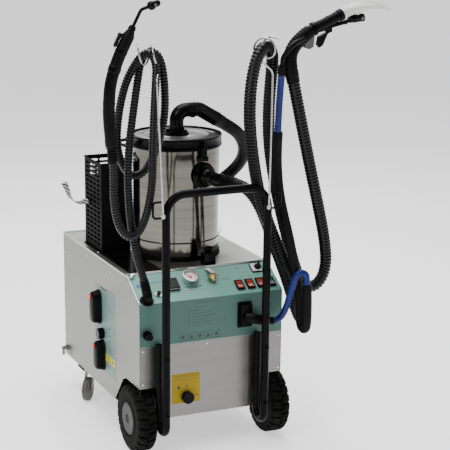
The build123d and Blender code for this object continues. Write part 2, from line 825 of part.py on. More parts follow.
side_knob_along = 40.0
side_knob_z = 366.0
with BuildPart() as side_knob:
    with BuildSketch(left_face.offset(knob_gap)):
        with Locations((side_knob_along, side_knob_z)):
            Circle(22)
    extrude(amount=10)
    with BuildSketch(left_face.offset(10 + knob_gap)):
        with Locations((side_knob_along, side_knob_z)):
            SlotOverall(42, 13, rotation=90)
    extrude(amount=14)
save(side_knob.part, "side_knob")

drain_along = -415.0
drain_z = 168.0
with BuildPart() as drain_cock:
    with BuildSketch(left_face):
        with Locations((drain_along, drain_z)):
            RegularPolygon(12, 6)
    extrude(amount=8)
    with BuildSketch(left_face.offset(8)):
        with Locations((drain_along, drain_z)):
            Circle(8)
    extrude(amount=16)
    with Locations((-half_width - 18, -drain_along, drain_z)):
        Cylinder(6, 30, align=top_down)
save(drain_cock.part, "drain_cock")

# ---------------------------------------------------------------- wire-slot basket and strap
basket_bottom = cabinet_top + mat_thickness
basket_top = 1024.0
basket_sheet = 2.0
slot_pitch = 18.0
slot_column_pitch = 42.0
slot_rows = 18
slot_height = 9.0
basket_x = (basket_left + basket_right) / 2
basket_y = (basket_front + basket_rear) / 2
basket_wide = basket_right - basket_left
basket_deep = basket_rear - basket_front
with BuildPart() as basket:
    with Locations((basket_x, basket_y, basket_bottom)):
        Box(basket_wide, basket_deep, basket_top - basket_bottom, align=bottom_up)
    with Locations((basket_x, basket_y, basket_bottom + basket_sheet)):
        Box(
            basket_wide - 2 * basket_sheet,
            basket_deep - 2 * basket_sheet,
            basket_top,
            align=bottom_up,
            mode=Mode.SUBTRACT,
        )
    slot_first_z = basket_bottom + 26
    slot_spots = []
    for row in range(slot_rows):
        for column in (-1.5, -0.5, 0.5, 1.5):
            slot_spots.append((column * slot_column_pitch, slot_first_z + row * slot_pitch))
    vent_floor = basket_bottom + slot_rows * slot_pitch - 3 * slot_pitch
    rear_spots = [(x, z) for x, z in slot_spots if abs(x) < slot_column_pitch and z > vent_floor]
    with BuildSketch(Plane.YZ.offset(basket_left - 1)):
        with Locations(*[(basket_y + across, z) for across, z in slot_spots]):
            SlotOverall(34, slot_height)
    extrude(amount=basket_sheet + 2, mode=Mode.SUBTRACT)
    with BuildSketch(Plane.XZ.offset(-basket_rear - 1)):
        with Locations(*[(basket_x + across, z) for across, z in rear_spots]):
            SlotOverall(34, slot_height)
    extrude(amount=basket_sheet + 2, mode=Mode.SUBTRACT)
save(basket.part, "basket")

strap_y = 196.0
strap_width = 25.0
strap_thickness = 2.0
strap_points = [
    (basket_left, strap_y, 851),
    (basket_left - 24, strap_y, 840),
    (basket_left - 56, strap_y, 845),
    (basket_left - 80, strap_y, 872),
    (basket_left - 88, strap_y, 905),
    (basket_left - 100, strap_y, 928),
]
with BuildPart() as basket_strap:
    with BuildLine() as strap_line:
        FilletPolyline(*strap_points, radius=easy_bends(strap_points))
    with BuildSketch(Plane(origin=strap_points[0], x_dir=(0, 1, 0), z_dir=strap_line.line % 0)):
        Rectangle(strap_width, strap_thickness)
    sweep()
    with Locations((basket_left, strap_y, 851)):
        Box(4, 60, 30, align=(Align.MIN, Align.CENTER, Align.CENTER), mode=Mode.SUBTRACT)
save(basket_strap.part, "basket_strap")

# ---------------------------------------------------------------- steam gun
gun_foot = (-412.0, -500.0, 1190.0)
gun_points = [
    gun_foot,
    (-424.0, -503.0, 1300.0),
    (-418.0, -506.0, 1410.0),
    (-390.0, -510.0, 1495.0),
    (-352.0, -514.0, 1570.0),
]
lance_points = [
    (-338.0, -515.5, 1597.6),
    (-307.0, -517.0, 1657.0),
    (-276.0, -520.0, 1668.0),
]
gun_radius = 21.0
gun_aim = Vector(*gun_points[-1]) - Vector(*gun_points[-2])
gun_side = Vector(-27, 0, 14).normalized()
gun_along = Vector(14, 0, 27).normalized()
trigger_pivot = Vector(-356, -514, 1563) + gun_side * 30
trigger_plane = Plane(origin=tuple(trigger_pivot), x_dir=tuple(gun_along), z_dir=(0, -1, 0))
with BuildPart() as steam_gun_body:
    pipe(gun_points, easy_bends(gun_points), gun_radius)
    with BuildSketch(Plane(origin=gun_points[-1], z_dir=gun_aim)):
        Circle(gun_radius)
    with BuildSketch(Plane(origin=lance_points[0], z_dir=gun_aim)):
        Circle(9)
    loft()
    for ear in (-1, 1):
        with BuildSketch(trigger_plane.offset(ear * 10)):
            with BuildLine():
                Polyline((-9, -16), (9, -16), (5, 4), (-5, 4), close=True)
            make_face()
        extrude(amount=1.5, both=True)
    with BuildSketch(trigger_plane):
        Circle(2)
    extrude(amount=11, both=True)
save(steam_gun_body.part, "steam_gun_body")

lance_end = lance_points[-1]
lance_run = Vector(*lance_end) - Vector(*lance_points[1])
blob_normal = lance_run.cross(Vector(0, 1, 0)).normalized()
blob_plane = Plane(origin=lance_end, x_dir=tuple(lance_run), z_dir=tuple(blob_normal))
with BuildPart() as gun_lance:
    pipe(lance_points, [20], 6)
    with BuildSketch(blob_plane):
        with BuildLine():
            Line((-8, 0), (-8, 8))
            ThreePointArc((-8, 8), (6, 16), (20, 9))
            ThreePointArc((20, 9), (30, 11.5), (38, 5))
            Line((38, 5), (38, 0))
            Line((38, 0), (-8, 0))
        make_face()
    revolve(axis=Axis(lance_end, tuple(lance_run)))
save(gun_lance.part, "gun_lance")

with BuildPart() as gun_trigger:
    with BuildSketch(trigger_plane):
        Circle(4)
        with BuildLine():
            Polyline((0, -4), (4, 0), (-2, 4), (-40, 4), (-47, 0), (-42, -4.5), close=True)
        make_face()
    extrude(amount=8, both=True)
    with BuildSketch(trigger_plane):
        Circle(2 + running_fit)
    extrude(amount=9, both=True, mode=Mode.SUBTRACT)
save(gun_trigger.part, "gun_trigger")

# ---------------------------------------------------------------- extraction tool
tool_y = -535.0
tool_foot = (258.0, tool_y + 1, 1425.0)
tool_points = [
    tool_foot,
    (248.6, tool_y - 0.6, 1460.0),
    (258.0, tool_y, 1502.0),
    (290.0, tool_y, 1538.0),
    (326.0, tool_y, 1562.0),
]
pipe_end = (455.0, tool_y, 1618.0)
tool_line = Vector(137, 0, 58).normalized()
pipe_start = tuple(Vector(*pipe_end) - tool_line * 150)
cuff_start = tuple(Vector(*pipe_end) - tool_line * 16)
pipe_radius = 19.0
line_port = (215.0, -548.0, 1447.0)
tool_trigger_pivot = (404.0, tool_y, 1563.0)
with BuildPart() as tool_body:
    pipe(tool_points, easy_bends(tool_points), 24)
    bar(pipe_start, pipe_end, pipe_radius)
    bar(cuff_start, pipe_end, pipe_radius + 3)
    bar((404, tool_y, 1575), (470, tool_y, 1589), 7)
    bar((470, tool_y, 1589), (488, tool_y, 1595), 7)
    bar((488, tool_y, 1595), (545, tool_y, 1599), 10)
    line_points = [line_port, (212.2, -557.7, 1478), (240, -574, 1522), (292, -560, 1540)]
    pipe(line_points, easy_bends(line_points), 9)
    with BuildSketch(Plane.XZ.offset(-tool_y)):
        with BuildLine():
            Polyline((296, 1536), (304, 1508), (322, 1500), (338, 1508), (342, 1552), close=True)
        make_face()
        with BuildLine():
            Polyline((340, 1556), (372, 1560), (400, 1568), (414, 1584), (360, 1570), close=True)
        make_face()
    extrude(amount=13, both=True)
    for ear in (-1, 1):
        with Locations((404, tool_y + ear * 11, 1568)):
            Box(14, 4, 22)
    with BuildSketch(Plane.XZ.offset(-tool_y)):
        with Locations((404, 1563)):
            Circle(9.6)
    extrude(amount=8.6, both=True, mode=Mode.SUBTRACT)
    bar((404, tool_y - 13, 1563), (404, tool_y + 13, 1563), 3)
save(tool_body.part, "tool_body")

with BuildPart() as tool_trigger:
    with BuildSketch(Plane.XZ.offset(-tool_y)):
        with Locations((404, 1563)):
            Circle(8)
        with BuildLine():
            Polyline(
                (412, 1561),
                (396, 1550),
                (378, 1512),
                (364, 1503),
                (356, 1514),
                (362, 1544),
                (390, 1556),
                (400, 1569),
                close=True,
            )
        make_face()
        with Locations((404, 1563)):
            Circle(3 + running_fit, mode=Mode.SUBTRACT)
    extrude(amount=8, both=True)
save(tool_trigger.part, "tool_trigger")

nozzle_neck = Plane(origin=pipe_end, x_dir=(0, 1, 0), z_dir=tuple(tool_line))
nozzle_waist = Plane(origin=(516, tool_y, 1639), x_dir=(0, 1, 0), z_dir=(70, 0, 12))
nozzle_mouth = Plane(origin=(626, tool_y, 1632), x_dir=(0, 1, 0), z_dir=(70, 0, -22))
with BuildPart() as tool_nozzle:
    with BuildSketch(nozzle_neck):
        Circle(21)
    with BuildSketch(nozzle_waist):
        Ellipse(34, 18)
    with BuildSketch(nozzle_mouth):
        Ellipse(50, 14)
    loft()
    with BuildSketch(nozzle_neck):
        Circle(17)
    with BuildSketch(nozzle_waist):
        Ellipse(31, 15)
    with BuildSketch(nozzle_mouth.offset(1)):
        Ellipse(47, 11)
    loft(mode=Mode.SUBTRACT)
save(tool_nozzle.part, "tool_nozzle")

# ---------------------------------------------------------------- hoses
# Each route is a list of hand-set points from the fixed end to the free or second end.
loop_route = [
    (190, -15, 1185),
    (262, -2, 1144),
    (327, 36, 1102),
    (372, 84, 1040),
    (386, 135, 980),
    (372, 190, 925),
    (338, 235, 880),
    (288, 268, 842),
    (228, 290, 810),
    (185, 299, 765),
    (170, 300, 720),
    (170, 300, 700),
]
vacuum_route = [
    vacuum_start,
    (149, -323, 985),
    (174, -388, 968),
    (205, -432, 895),
    (247, -442, 775),
    (306, -448, 625),
    (350, -440, 500),
    (382, -424, 449),
    (415, -400, 455),
    (424, -378, 530),
    (370, -370, 670),
    (315, -385, 835),
    (265, -405, 995),
    (225, -430, 1155),
    (210, -455, 1290),
    (206, -480, 1405),
    (198, -508, 1488),
    (158, -532, 1522),
    (112, -558, 1492),
    (90, -555, 1395),
    (95, -535, 1270),
    (120, -510, 1140),
    (160, -484, 990),
    (195, -483, 885),
    (240, -492, 775),
    (290, -496, 665),
    (346, -497, 603),
    (408, -500, 606),
    (440, -506, 676),
    (428, -510, 780),
    (395, -515, 910),
    (355, -520, 1055),
    (314, -526, 1210),
    (276, -531, 1358),
    tool_foot,
]
steam_route = [
    steam_start,
    (-275, -446.8, 691.6),
    (-305, -456, 775),
    (-330, -460, 910),
    (-340, -464, 1050),
    (-335, -462, 1175),
    (-318, -460, 1290),
    (-300, -458, 1400),
    (-288, -460, 1478),
    (-262, -472, 1517),
    (-226, -492, 1492),
    (-212, -497, 1400),
    (-205, -480, 1270),
    (-228, -454, 1160),
    (-258, -438, 1088),
    (-300, -426, 1060),
    (-342, -420, 1098),
    (-367, -424, 1180),
    (-362, -432, 1290),
    (-345, -455, 1400),
    (-312, -484, 1482),
    (-276, -502, 1516),
    (-250, -516, 1480),
    (-256, -517, 1385),
    (-262, -516, 1270),
    (-264, -513, 1160),
    (-264, -508, 1050),
    (-280, -500, 945),
    (-308, -494, 876),
    (-346, -490, 856),
    (-384, -484, 900),
    (-402, -486, 1000),
    (-403, -498, 1110),
    gun_foot,
]
plug_outlet = (205.0, -484.0, 488.0)
blue_lower_route = [
    plug_outlet,
    (235, -485, 481.5),
    (257, -504, 500),
    (263, -530, 545),
    (268, -554, 610),
    (278, -572, 676),
    (289, -578, 687),
    (305, -583, 687),
    (316, -586, 676),
    (318, -586, 640),
]
black_line_route = [
    blue_lower_route[-1],
    (320, -586, 604),
    (321, -587, 540),
    (320, -586, 480),
    (320, -571, 464),
    (321, -549, 464),
    (321, -534, 480),
    (319, -535, 540),
    (306, -538, 620),
    (288, -540, 705),
    (270, -534, 800),
    (258, -494, 905),
    (251, -472, 980),
    (245, -466, 1060),
    (239, -474, 1130),
    (233, -489, 1200),
]
blue_upper_route = [
    black_line_route[-1],
    (226, -506.5, 1282),
    (222, -523, 1365),
    line_port,
]

with BuildPart() as steam_plug:
    with BuildSketch(front_face.offset(5)):
        with Locations((socket_x, socket_z)):
            RectangleRounded(45, 84, 4)
    extrude(amount=18)
    plug_points = [
        (socket_x, -half_depth - 22, socket_z - 4),
        (socket_x + 17, -482, socket_z - 8),
        plug_outlet,
    ]
    pipe(plug_points, [20], 19)
save(steam_plug.part, "steam_plug")

hose(loop_route, loop_hose_radius, "loop_hose")
hose(vacuum_route, vacuum_hose_radius, "vacuum_hose")
hose(steam_route, steam_hose_radius, "left_steam_hose")
hose(blue_lower_route, blue_line_radius, "blue_hose_lower")
hose(black_line_route, black_line_radius, "black_steam_hose")
hose(blue_upper_route, blue_line_radius, "blue_hose_upper")

# ---------------------------------------------------------------- inside the cabinet
boiler_wall = 3.0
boiler_radius = 120.0
boiler_height = 420.0
boiler_x = -110.0
boiler_y = 60.0
boiler_leg = 22.0
boiler_base = cabinet_bottom + tray_thickness + boiler_leg - 2
with BuildPart() as boiler:
    with Locations((boiler_x, boiler_y, boiler_base)):
        Cylinder(boiler_radius, boiler_height, align=bottom_up)
    for turn in range(3):
        leg_angle = math.radians(120 * turn + 30)
        leg_x = boiler_x + 95 * math.cos(leg_angle)
        leg_y = boiler_y + 95 * math.sin(leg_angle)
        with Locations((leg_x, leg_y, cabinet_bottom + tray_thickness)):
            Box(20, 20, boiler_leg, align=bottom_up)
    with Locations((boiler_x, boiler_y, boiler_base + boiler_wall)):
        Cylinder(
            boiler_radius - boiler_wall,
            boiler_height - 2 * boiler_wall,
            align=bottom_up,
            mode=Mode.SUBTRACT,
        )
save(boiler.part, "boiler")

with BuildPart() as vacuum_motor:
    with Locations((150, 240, cabinet_bottom + tray_thickness)):
        Cylinder(80, 30, align=bottom_up)
        Cylinder(62, 130, align=bottom_up)
    with Locations((150, 240, cabinet_bottom + tray_thickness + 130)):
        Cylinder(34, 34, align=bottom_up)
save(vacuum_motor.part, "vacuum_motor")
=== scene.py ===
import bpy
from math import atan2, copysign, cos, pi, radians, sin
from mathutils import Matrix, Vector


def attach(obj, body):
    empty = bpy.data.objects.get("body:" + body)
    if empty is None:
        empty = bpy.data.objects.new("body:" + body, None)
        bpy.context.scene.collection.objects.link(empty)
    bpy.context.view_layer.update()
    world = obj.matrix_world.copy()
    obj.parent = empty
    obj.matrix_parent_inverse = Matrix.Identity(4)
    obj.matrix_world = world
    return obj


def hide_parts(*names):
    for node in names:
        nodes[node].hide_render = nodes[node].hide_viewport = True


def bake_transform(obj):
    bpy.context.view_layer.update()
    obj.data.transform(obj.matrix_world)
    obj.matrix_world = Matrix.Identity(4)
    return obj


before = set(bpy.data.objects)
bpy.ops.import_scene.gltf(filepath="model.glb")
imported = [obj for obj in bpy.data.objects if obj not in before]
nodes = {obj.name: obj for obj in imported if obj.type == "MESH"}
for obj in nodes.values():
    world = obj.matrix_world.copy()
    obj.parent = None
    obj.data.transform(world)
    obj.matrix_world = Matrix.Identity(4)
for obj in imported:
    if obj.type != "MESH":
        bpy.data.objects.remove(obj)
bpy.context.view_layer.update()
MM = 0.001


# ---- materials
def rgba(colour):
    """A colour's four numbers; one number alone is a grey."""
    return (*colour, 1) if isinstance(colour, tuple) else (colour, colour, colour, 1)


def surface(name, low, high, rough, metal=0.0, scale=8.0, stretch=(1, 1, 1), grain=500.0, bump=0.05,
            depth=0.0002, specular=0.5, sockets=None):
    """A procedural material: two shades in a soft cloud, roughness that varies with it, and a fine grain."""
    mat = bpy.data.materials.new(name)
    mat.use_nodes = True
    tree = mat.node_tree
    new, link = tree.nodes.new, tree.links.new
    shader = tree.nodes["Principled BSDF"]
    coord = new("ShaderNodeTexCoord")
    mapping = new("ShaderNodeMapping")
    mapping.inputs["Scale"].default_value = stretch
    link(coord.outputs["Object"], mapping.inputs["Vector"])
    cloud = new("ShaderNodeTexNoise")
    cloud.inputs["Scale"].default_value = scale
    cloud.inputs["Detail"].default_value = 5.0
    link(mapping.outputs["Vector"], cloud.inputs["Vector"])
    ramp = new("ShaderNodeValToRGB")
    ramp.color_ramp.elements[0].position = 0.3
    ramp.color_ramp.elements[1].position = 0.7
    ramp.color_ramp.elements[0].color = rgba(low)
    ramp.color_ramp.elements[1].color = rgba(high)
    link(cloud.outputs["Fac"], ramp.inputs["Fac"])
    link(ramp.outputs["Color"], shader.inputs["Base Color"])
    spread = new("ShaderNodeMapRange")
    spread.inputs["From Min"].default_value = 0.3
    spread.inputs["From Max"].default_value = 0.7
    spread.inputs["To Min"].default_value = rough[0]
    spread.inputs["To Max"].default_value = rough[1]
    link(cloud.outputs["Fac"], spread.inputs["Value"])
    link(spread.outputs["Result"], shader.inputs["Roughness"])
    fine = new("ShaderNodeTexNoise")
    fine.inputs["Scale"].default_value = grain
    fine.inputs["Detail"].default_value = 3.0
    link(mapping.outputs["Vector"], fine.inputs["Vector"])
    relief = new("ShaderNodeBump")
    relief.inputs["Strength"].default_value = bump
    relief.inputs["Distance"].default_value = depth
    link(fine.outputs["Fac"], relief.inputs["Height"])
    link(relief.outputs["Normal"], shader.inputs["Normal"])
    shader.inputs["Metallic"].default_value = metal
    shader.inputs["Specular IOR Level"].default_value = specular
    for socket, value in (sockets or {}).items():
        shader.inputs[socket].default_value = value
    return mat


def worn(mat, colour, amount):
    """Scuffs of another colour where a coarse noise crosses a threshold."""
    tree = mat.node_tree
    new, link = tree.nodes.new, tree.links.new
    shader = tree.nodes["Principled BSDF"]
    before = shader.inputs["Base Color"].links[0].from_socket
    coord = new("ShaderNodeTexCoord")
    patch = new("ShaderNodeTexNoise")
    patch.inputs["Scale"].default_value = 34.0
    patch.inputs["Detail"].default_value = 9.0
    patch.inputs["Roughness"].default_value = 0.7
    link(coord.outputs["Object"], patch.inputs["Vector"])
    cut = new("ShaderNodeValToRGB")
    cut.color_ramp.elements[0].position = 0.62 - amount
    cut.color_ramp.elements[1].position = 0.70 - amount
    link(patch.outputs["Fac"], cut.inputs["Fac"])
    mix = new("ShaderNodeMix")
    mix.data_type = "RGBA"
    mix.inputs["B"].default_value = rgba(colour)
    link(cut.outputs["Color"], mix.inputs["Factor"])
    link(before, mix.inputs["A"])
    link(mix.outputs["Result"], shader.inputs["Base Color"])
    return mat


steel = surface("brushed_steel", (0.165, 0.163, 0.158), (0.2, 0.197, 0.191), (0.3, 0.38), metal=1.0,
                scale=2.4, stretch=(1, 1, 9), grain=260)
# A brighter copy of the brushed steel for the top cover and top lip: painted light on the top.
painted_light_top_steel = surface("brushed_steel_painted_top_light", (0.4, 0.395, 0.388), (0.44, 0.435, 0.427), (0.28, 0.38),
                    metal=1.0, scale=2.4, stretch=(1, 9, 1), grain=260)
drum_steel = surface("polished_drum", (0.125, 0.119, 0.105), (0.18, 0.171, 0.153), (0.1, 0.16), metal=1.0,
                     scale=5, stretch=(0.6, 0.6, 16), grain=120, bump=0.04)
mint = surface("mint_paint", (0.115, 0.3, 0.24), (0.135, 0.335, 0.27), (0.3, 0.38), scale=4,
               grain=900, bump=0.06, depth=0.0001, specular=0.35)
# A darker copy of the mint paint for the front face of the same mint sheet: painted shade.
mint_with_painted_shade = surface("mint_painted_shade_front", (0.042, 0.11, 0.089), (0.052, 0.128, 0.103), (0.34, 0.44), scale=4,
                     grain=900, bump=0.06, depth=0.0001, specular=0.3)
mint_label = surface("mint_foil", (0.1, 0.19, 0.165), (0.12, 0.215, 0.187), (0.36, 0.48), scale=6,
                     grain=600, depth=0.0001)
gloss_black = surface("black_enamel", 0.001, 0.003, (0.2, 0.32), scale=9, bump=0.06, specular=0.06)
frame_black = worn(surface("black_frame_paint", 0.0015, 0.005, (0.38, 0.55), scale=14, grain=320,
                           bump=0.2, depth=0.0004, specular=0.08),
                   (0.03, 0.028, 0.025), 0.0)
black_sheet = surface("black_sheet_metal", 0.0015, 0.004, (0.5, 0.62), scale=10, bump=0.12,
                      specular=0.05)
plastic = surface("black_plastic", 0.0015, 0.005, (0.3, 0.44), scale=18, grain=700, bump=0.18,
                  specular=0.07)
gloss = surface("black_gloss_plastic", 0.001, 0.003, (0.16, 0.26), scale=15, grain=600,
                        depth=0.0001, specular=0.09)
mat_gloss = surface("black_deck_sheet", 0.001, 0.003, (0.14, 0.24), scale=7, specular=0.16)
ribbed = surface("ribbed_hose", 0.001, 0.003, (0.24, 0.34), scale=12, bump=0.08, specular=0.24)
rubber = surface("black_rubber", 0.0015, 0.005, (0.36, 0.5), scale=16, grain=520, bump=0.2,
                 depth=0.0003, specular=0.06)
sleeve_black = surface("woven_sleeve", 0.002, 0.007, (0.5, 0.65), scale=300, grain=900, bump=0.35,
                       depth=0.0005, specular=0.09)
blue = surface("blue_hose_skin", (0.001, 0.007, 0.085), (0.002, 0.012, 0.13), (0.34, 0.46), scale=22,
               grain=420, bump=0.15, depth=0.0003, specular=0.25)
badge_blue = surface("badge_blue", (0.01, 0.1, 0.26), (0.014, 0.12, 0.3), (0.36, 0.46), scale=20,
                     grain=600, depth=0.0001)
tyre_rubber = worn(surface("tyre_rubber", (0.004, 0.0037, 0.0035), (0.01, 0.0095, 0.009), (0.62, 0.8),
                           scale=12, grain=420, bump=0.35, depth=0.0006, specular=0.06),
                   (0.02, 0.018, 0.016), 0.03)
hub_grey = surface("grey_hub", (0.02, 0.02, 0.021), (0.028, 0.028, 0.029), (0.4, 0.52), scale=10,
                   bump=0.12, specular=0.25)
caster_grey = surface("caster_tread", (0.055, 0.053, 0.05), (0.095, 0.092, 0.088), (0.5, 0.66), scale=20,
                      bump=0.2, depth=0.0003)
fork_zinc = surface("caster_zinc", (0.17, 0.165, 0.16), (0.26, 0.255, 0.25), (0.36, 0.5), metal=0.8,
                    scale=16, bump=0.12)
chrome = surface("chrome", (0.7, 0.69, 0.68), (0.78, 0.77, 0.76), (0.07, 0.14), metal=1.0, scale=30,
                 grain=300, bump=0.03, depth=0.0001)
wire_chrome = surface("wire_steel", 0.36, 0.5, (0.16, 0.26), metal=1.0, scale=40, depth=0.0001)
brass = surface("brass", (0.34, 0.24, 0.09), (0.5, 0.37, 0.17), (0.2, 0.34), metal=1.0, scale=60,
                bump=0.1)
red_plastic = surface("red_plastic", (0.5, 0.01, 0.012), (0.66, 0.022, 0.022), (0.26, 0.36), scale=30,
                      grain=700, bump=0.08, depth=0.0001)
red_lens = surface("red_lens", (0.2, 0.012, 0.006), (0.34, 0.035, 0.016), (0.16, 0.26), scale=90,
                   grain=900, depth=0.0001, sockets={"Coat Weight": 0.5})
green_lens = surface("green_lens", (0.006, 0.03, 0.018), (0.012, 0.055, 0.032), (0.16, 0.26), scale=90,
                     grain=900, depth=0.0001, sockets={"Coat Weight": 0.5})
light_plate = surface("light_grey_plate", (0.58, 0.58, 0.6), (0.68, 0.68, 0.7), (0.3, 0.42), scale=20,
                      grain=700, bump=0.06, depth=0.0001)
lid_grey = surface("lid_top_sheet", (0.055, 0.055, 0.057), (0.1, 0.1, 0.103), (0.26, 0.4), metal=0.6,
                   scale=8, grain=400, bump=0.08)
block_grey = surface("grey_block", (0.05, 0.05, 0.052), (0.08, 0.08, 0.083), (0.36, 0.48), scale=30,
                     grain=600, bump=0.12)
yellow = surface("yellow_foil", (0.3, 0.2, 0.0002), (0.35, 0.24, 0.0004), (0.4, 0.5), scale=9,
                 grain=700, depth=0.0001, specular=0.2)
yellow_pale = surface("pale_yellow_foil", (0.46, 0.43, 0.004), (0.54, 0.5, 0.01), (0.34, 0.46), scale=30,
                      grain=700, depth=0.0001)
ink = surface("black_ink", (0.01, 0.012, 0.012), (0.022, 0.026, 0.024), (0.4, 0.55), scale=60,
              grain=900, bump=0.04, depth=0.0001)
pale_ink = surface("grey_ink", (0.012, 0.03, 0.026), (0.022, 0.045, 0.038), (0.4, 0.55), scale=60,
                   grain=900, bump=0.04, depth=0.0001)
dial_white = surface("dial_face", (0.72, 0.7, 0.66), (0.8, 0.78, 0.74), (0.4, 0.5), scale=40,
                     grain=900, bump=0.03, depth=0.0001)
clear = surface("clear_nozzle", (0.72, 0.72, 0.68), (0.82, 0.82, 0.78), (0.1, 0.22), scale=26,
                grain=300, bump=0.08, depth=0.0003, sockets={"Transmission Weight": 0.3, "IOR": 1.42})
dark_glass = surface("display_glass", (0.01, 0.016, 0.014), (0.02, 0.034, 0.03), (0.2, 0.28),
                     scale=30, grain=600, bump=0.02, depth=0.0001, specular=0.07)
inner_grey = surface("inner_metal", 0.16, 0.26, (0.4, 0.55), metal=0.5, scale=12, grain=400, bump=0.15,
                     depth=0.0003)
# The reusable slot named for each finish, passed along with each turned or flat piece of it.
SLOTS = {
    "black_plastic": (gloss, plastic, ink, pale_ink, dark_glass),
    "black_rubber": (rubber,),
    "blue_hose": (badge_blue,),
    "chrome": (chrome, wire_chrome, fork_zinc),
    "grey_hub": (hub_grey, block_grey),
    "mint_paint": (mint_with_painted_shade, mint_label),
    "red_switch": (red_plastic,),
    "stainless": (painted_light_top_steel, light_plate, lid_grey, dial_white, yellow, yellow_pale),
}
SLOT_OF = {finish: slot for slot, finishes in SLOTS.items() for finish in finishes}


def webbing_material():
    """Woven strap: fine diagonal black and white yarns."""
    mat = surface("webbing", 0.006, (0.42, 0.42, 0.41), (0.7, 0.85), grain=900.0, bump=0.3, depth=0.0004)
    tree = mat.node_tree
    new, link = tree.nodes.new, tree.links.new
    coord = new("ShaderNodeTexCoord")
    turn = new("ShaderNodeMapping")
    turn.inputs["Rotation"].default_value = (0, 0, radians(38))
    link(coord.outputs["UV"], turn.inputs["Vector"])
    wave = new("ShaderNodeTexWave")
    wave.inputs["Scale"].default_value = 24.0
    wave.inputs["Distortion"].default_value = 0.4
    wave.inputs["Detail"].default_value = 2.0
    link(turn.outputs["Vector"], wave.inputs["Vector"])
    ramp = next(n for n in tree.nodes if n.bl_idname == "ShaderNodeValToRGB")
    ramp.color_ramp.elements[0].position = 0.42
    ramp.color_ramp.elements[1].position = 0.58
    link(wave.outputs["Fac"], ramp.inputs["Fac"])
    return mat


webbing = webbing_material()


# ---- camera
camera_data = bpy.data.cameras.new("camera")
camera_data.lens = 114.47
camera_data.sensor_width = 36.0
camera_data.shift_x = 0.1278
camera_data.shift_y = 0.1444
camera_data.clip_end = 100.0
camera = bpy.data.objects.new("camera", camera_data)
camera.location = (-2.0774, -5.1014, 2.0800)
aim = Vector((0, 0, 0.5)) - Vector(camera.location)
camera.rotation_euler = aim.to_track_quat("-Z", "Y").to_euler()
bpy.context.scene.collection.objects.link(camera)
bpy.context.scene.camera = camera


# ---- mesh helpers
def place(name, verts, faces, mat, body="chassis", slot=None, smooth=None):
    """A mesh piece in metres from millimetre points; smooth is the angle below which edges shade smooth."""
    mesh = bpy.data.meshes.new(name)
    mesh.from_pydata([tuple(c * MM for c in v) for v in verts], [], faces)
    mesh.validate()
    mesh.update()
    obj = bpy.data.objects.new(name, mesh)
    bpy.context.scene.collection.objects.link(obj)
    mesh.materials.append(mat)
    if smooth:
        mesh.shade_smooth()
        mesh.set_sharp_from_angle(angle=radians(smooth))
    if body:
        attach(obj, body)
    return obj


def bevel(obj, width, segments=2, angle=40):
    """Rounds a piece's edges."""
    mod = obj.modifiers.new("bevel", "BEVEL")
    mod.width = width * MM
    mod.segments = segments
    mod.limit_method = "ANGLE"
    mod.angle_limit = radians(angle)
    return obj


def basis(normal):
    """Two directions square to a normal."""
    normal = Vector(normal).normalized()
    side = Vector((0, 0, 1)) if abs(normal.z) < 0.9 else Vector((1, 0, 0))
    u = side.cross(normal).normalized()
    return u, normal.cross(u)


def lathe(name, origin, axis, profile, mat, sides=48, body="chassis", slot=None, smooth=35, parts=None,
          ring=False):
    """A turned piece: profile is (distance along the axis, radius) in mm, a disc or, with ring, a hoop."""
    u, v = basis(axis)
    w = Vector(axis).normalized()
    verts, faces = [], []
    for along, radius in profile:
        for k in range(sides):
            t = 2 * pi * k / sides
            p = Vector(origin) + w * along + (u * cos(t) + v * sin(t)) * radius
            verts.append(tuple(p))
    for r in range(len(profile) - 1):
        for k in range(sides):
            n = (k + 1) % sides
            faces.append((r * sides + k, r * sides + n, (r + 1) * sides + n, (r + 1) * sides + k))
    last = (len(profile) - 1) * sides
    if ring:
        faces += [(last + k, last + (k + 1) % sides, (k + 1) % sides, k) for k in range(sides)]
    else:
        faces.append(tuple(reversed(range(sides))))
        faces.append(tuple(last + k for k in range(sides)))
    if parts is not None:
        base = len(parts[0])
        parts[0].extend(verts)
        parts[1].extend([tuple(i + base for i in f) for f in faces])
        return None
    return place(name, verts, faces, mat, body, slot or SLOT_OF[mat], smooth)


slope_angle = atan2(78, 130)
PLANES = {
    "slope": (Vector((0, -440, 590)), Vector((1, 0, 0)),
              Vector((0, cos(slope_angle), sin(slope_angle))),
              Vector((0, -sin(slope_angle), cos(slope_angle)))),
    "front": (Vector((0, -440, 0)), Vector((1, 0, 0)), Vector((0, 0, 1)), Vector((0, -1, 0))),
    "left": (Vector((-290, 0, 0)), Vector((0, -1, 0)), Vector((0, 0, 1)), Vector((-1, 0, 0))),
    "right": (Vector((290, 0, 0)), Vector((0, 1, 0)), Vector((0, 0, 1)), Vector((1, 0, 0))),
    "rear": (Vector((0, 440, 0)), Vector((-1, 0, 0)), Vector((0, 0, 1)), Vector((0, 1, 0))),
    "top": (Vector((0, 0, 668)), Vector((1, 0, 0)), Vector((0, 1, 0)), Vector((0, 0, 1))),
}
SLOPE_OUT = PLANES["slope"][3]


def spot(plane, x, y, height=0.0):
    """The point at (x, y) on a named plane of the cabinet, in mm, raised by height."""
    origin, right, up, out = PLANES[plane]
    return origin + right * x + up * y + out * height


def around(centre, radius, angle):
    """The flat point at that radius and angle from a centre."""
    return centre[0] + radius * cos(angle), centre[1] + radius * sin(angle)


def prism(plane, outline, low, high, parts):
    """Adds a flat-sided block with that outline to the (verts, faces) lists."""
    base, count = len(parts[0]), len(outline)
    for height in (low, high):
        for x, y in outline:
            parts[0].append(tuple(spot(plane, x, y, height)))
    parts[1].append(tuple(base + k for k in reversed(range(count))))
    parts[1].append(tuple(base + count + k for k in range(count)))
    for k in range(count):
        n = (k + 1) % count
        parts[1].append((base + k, base + n, base + count + n, base + count + k))


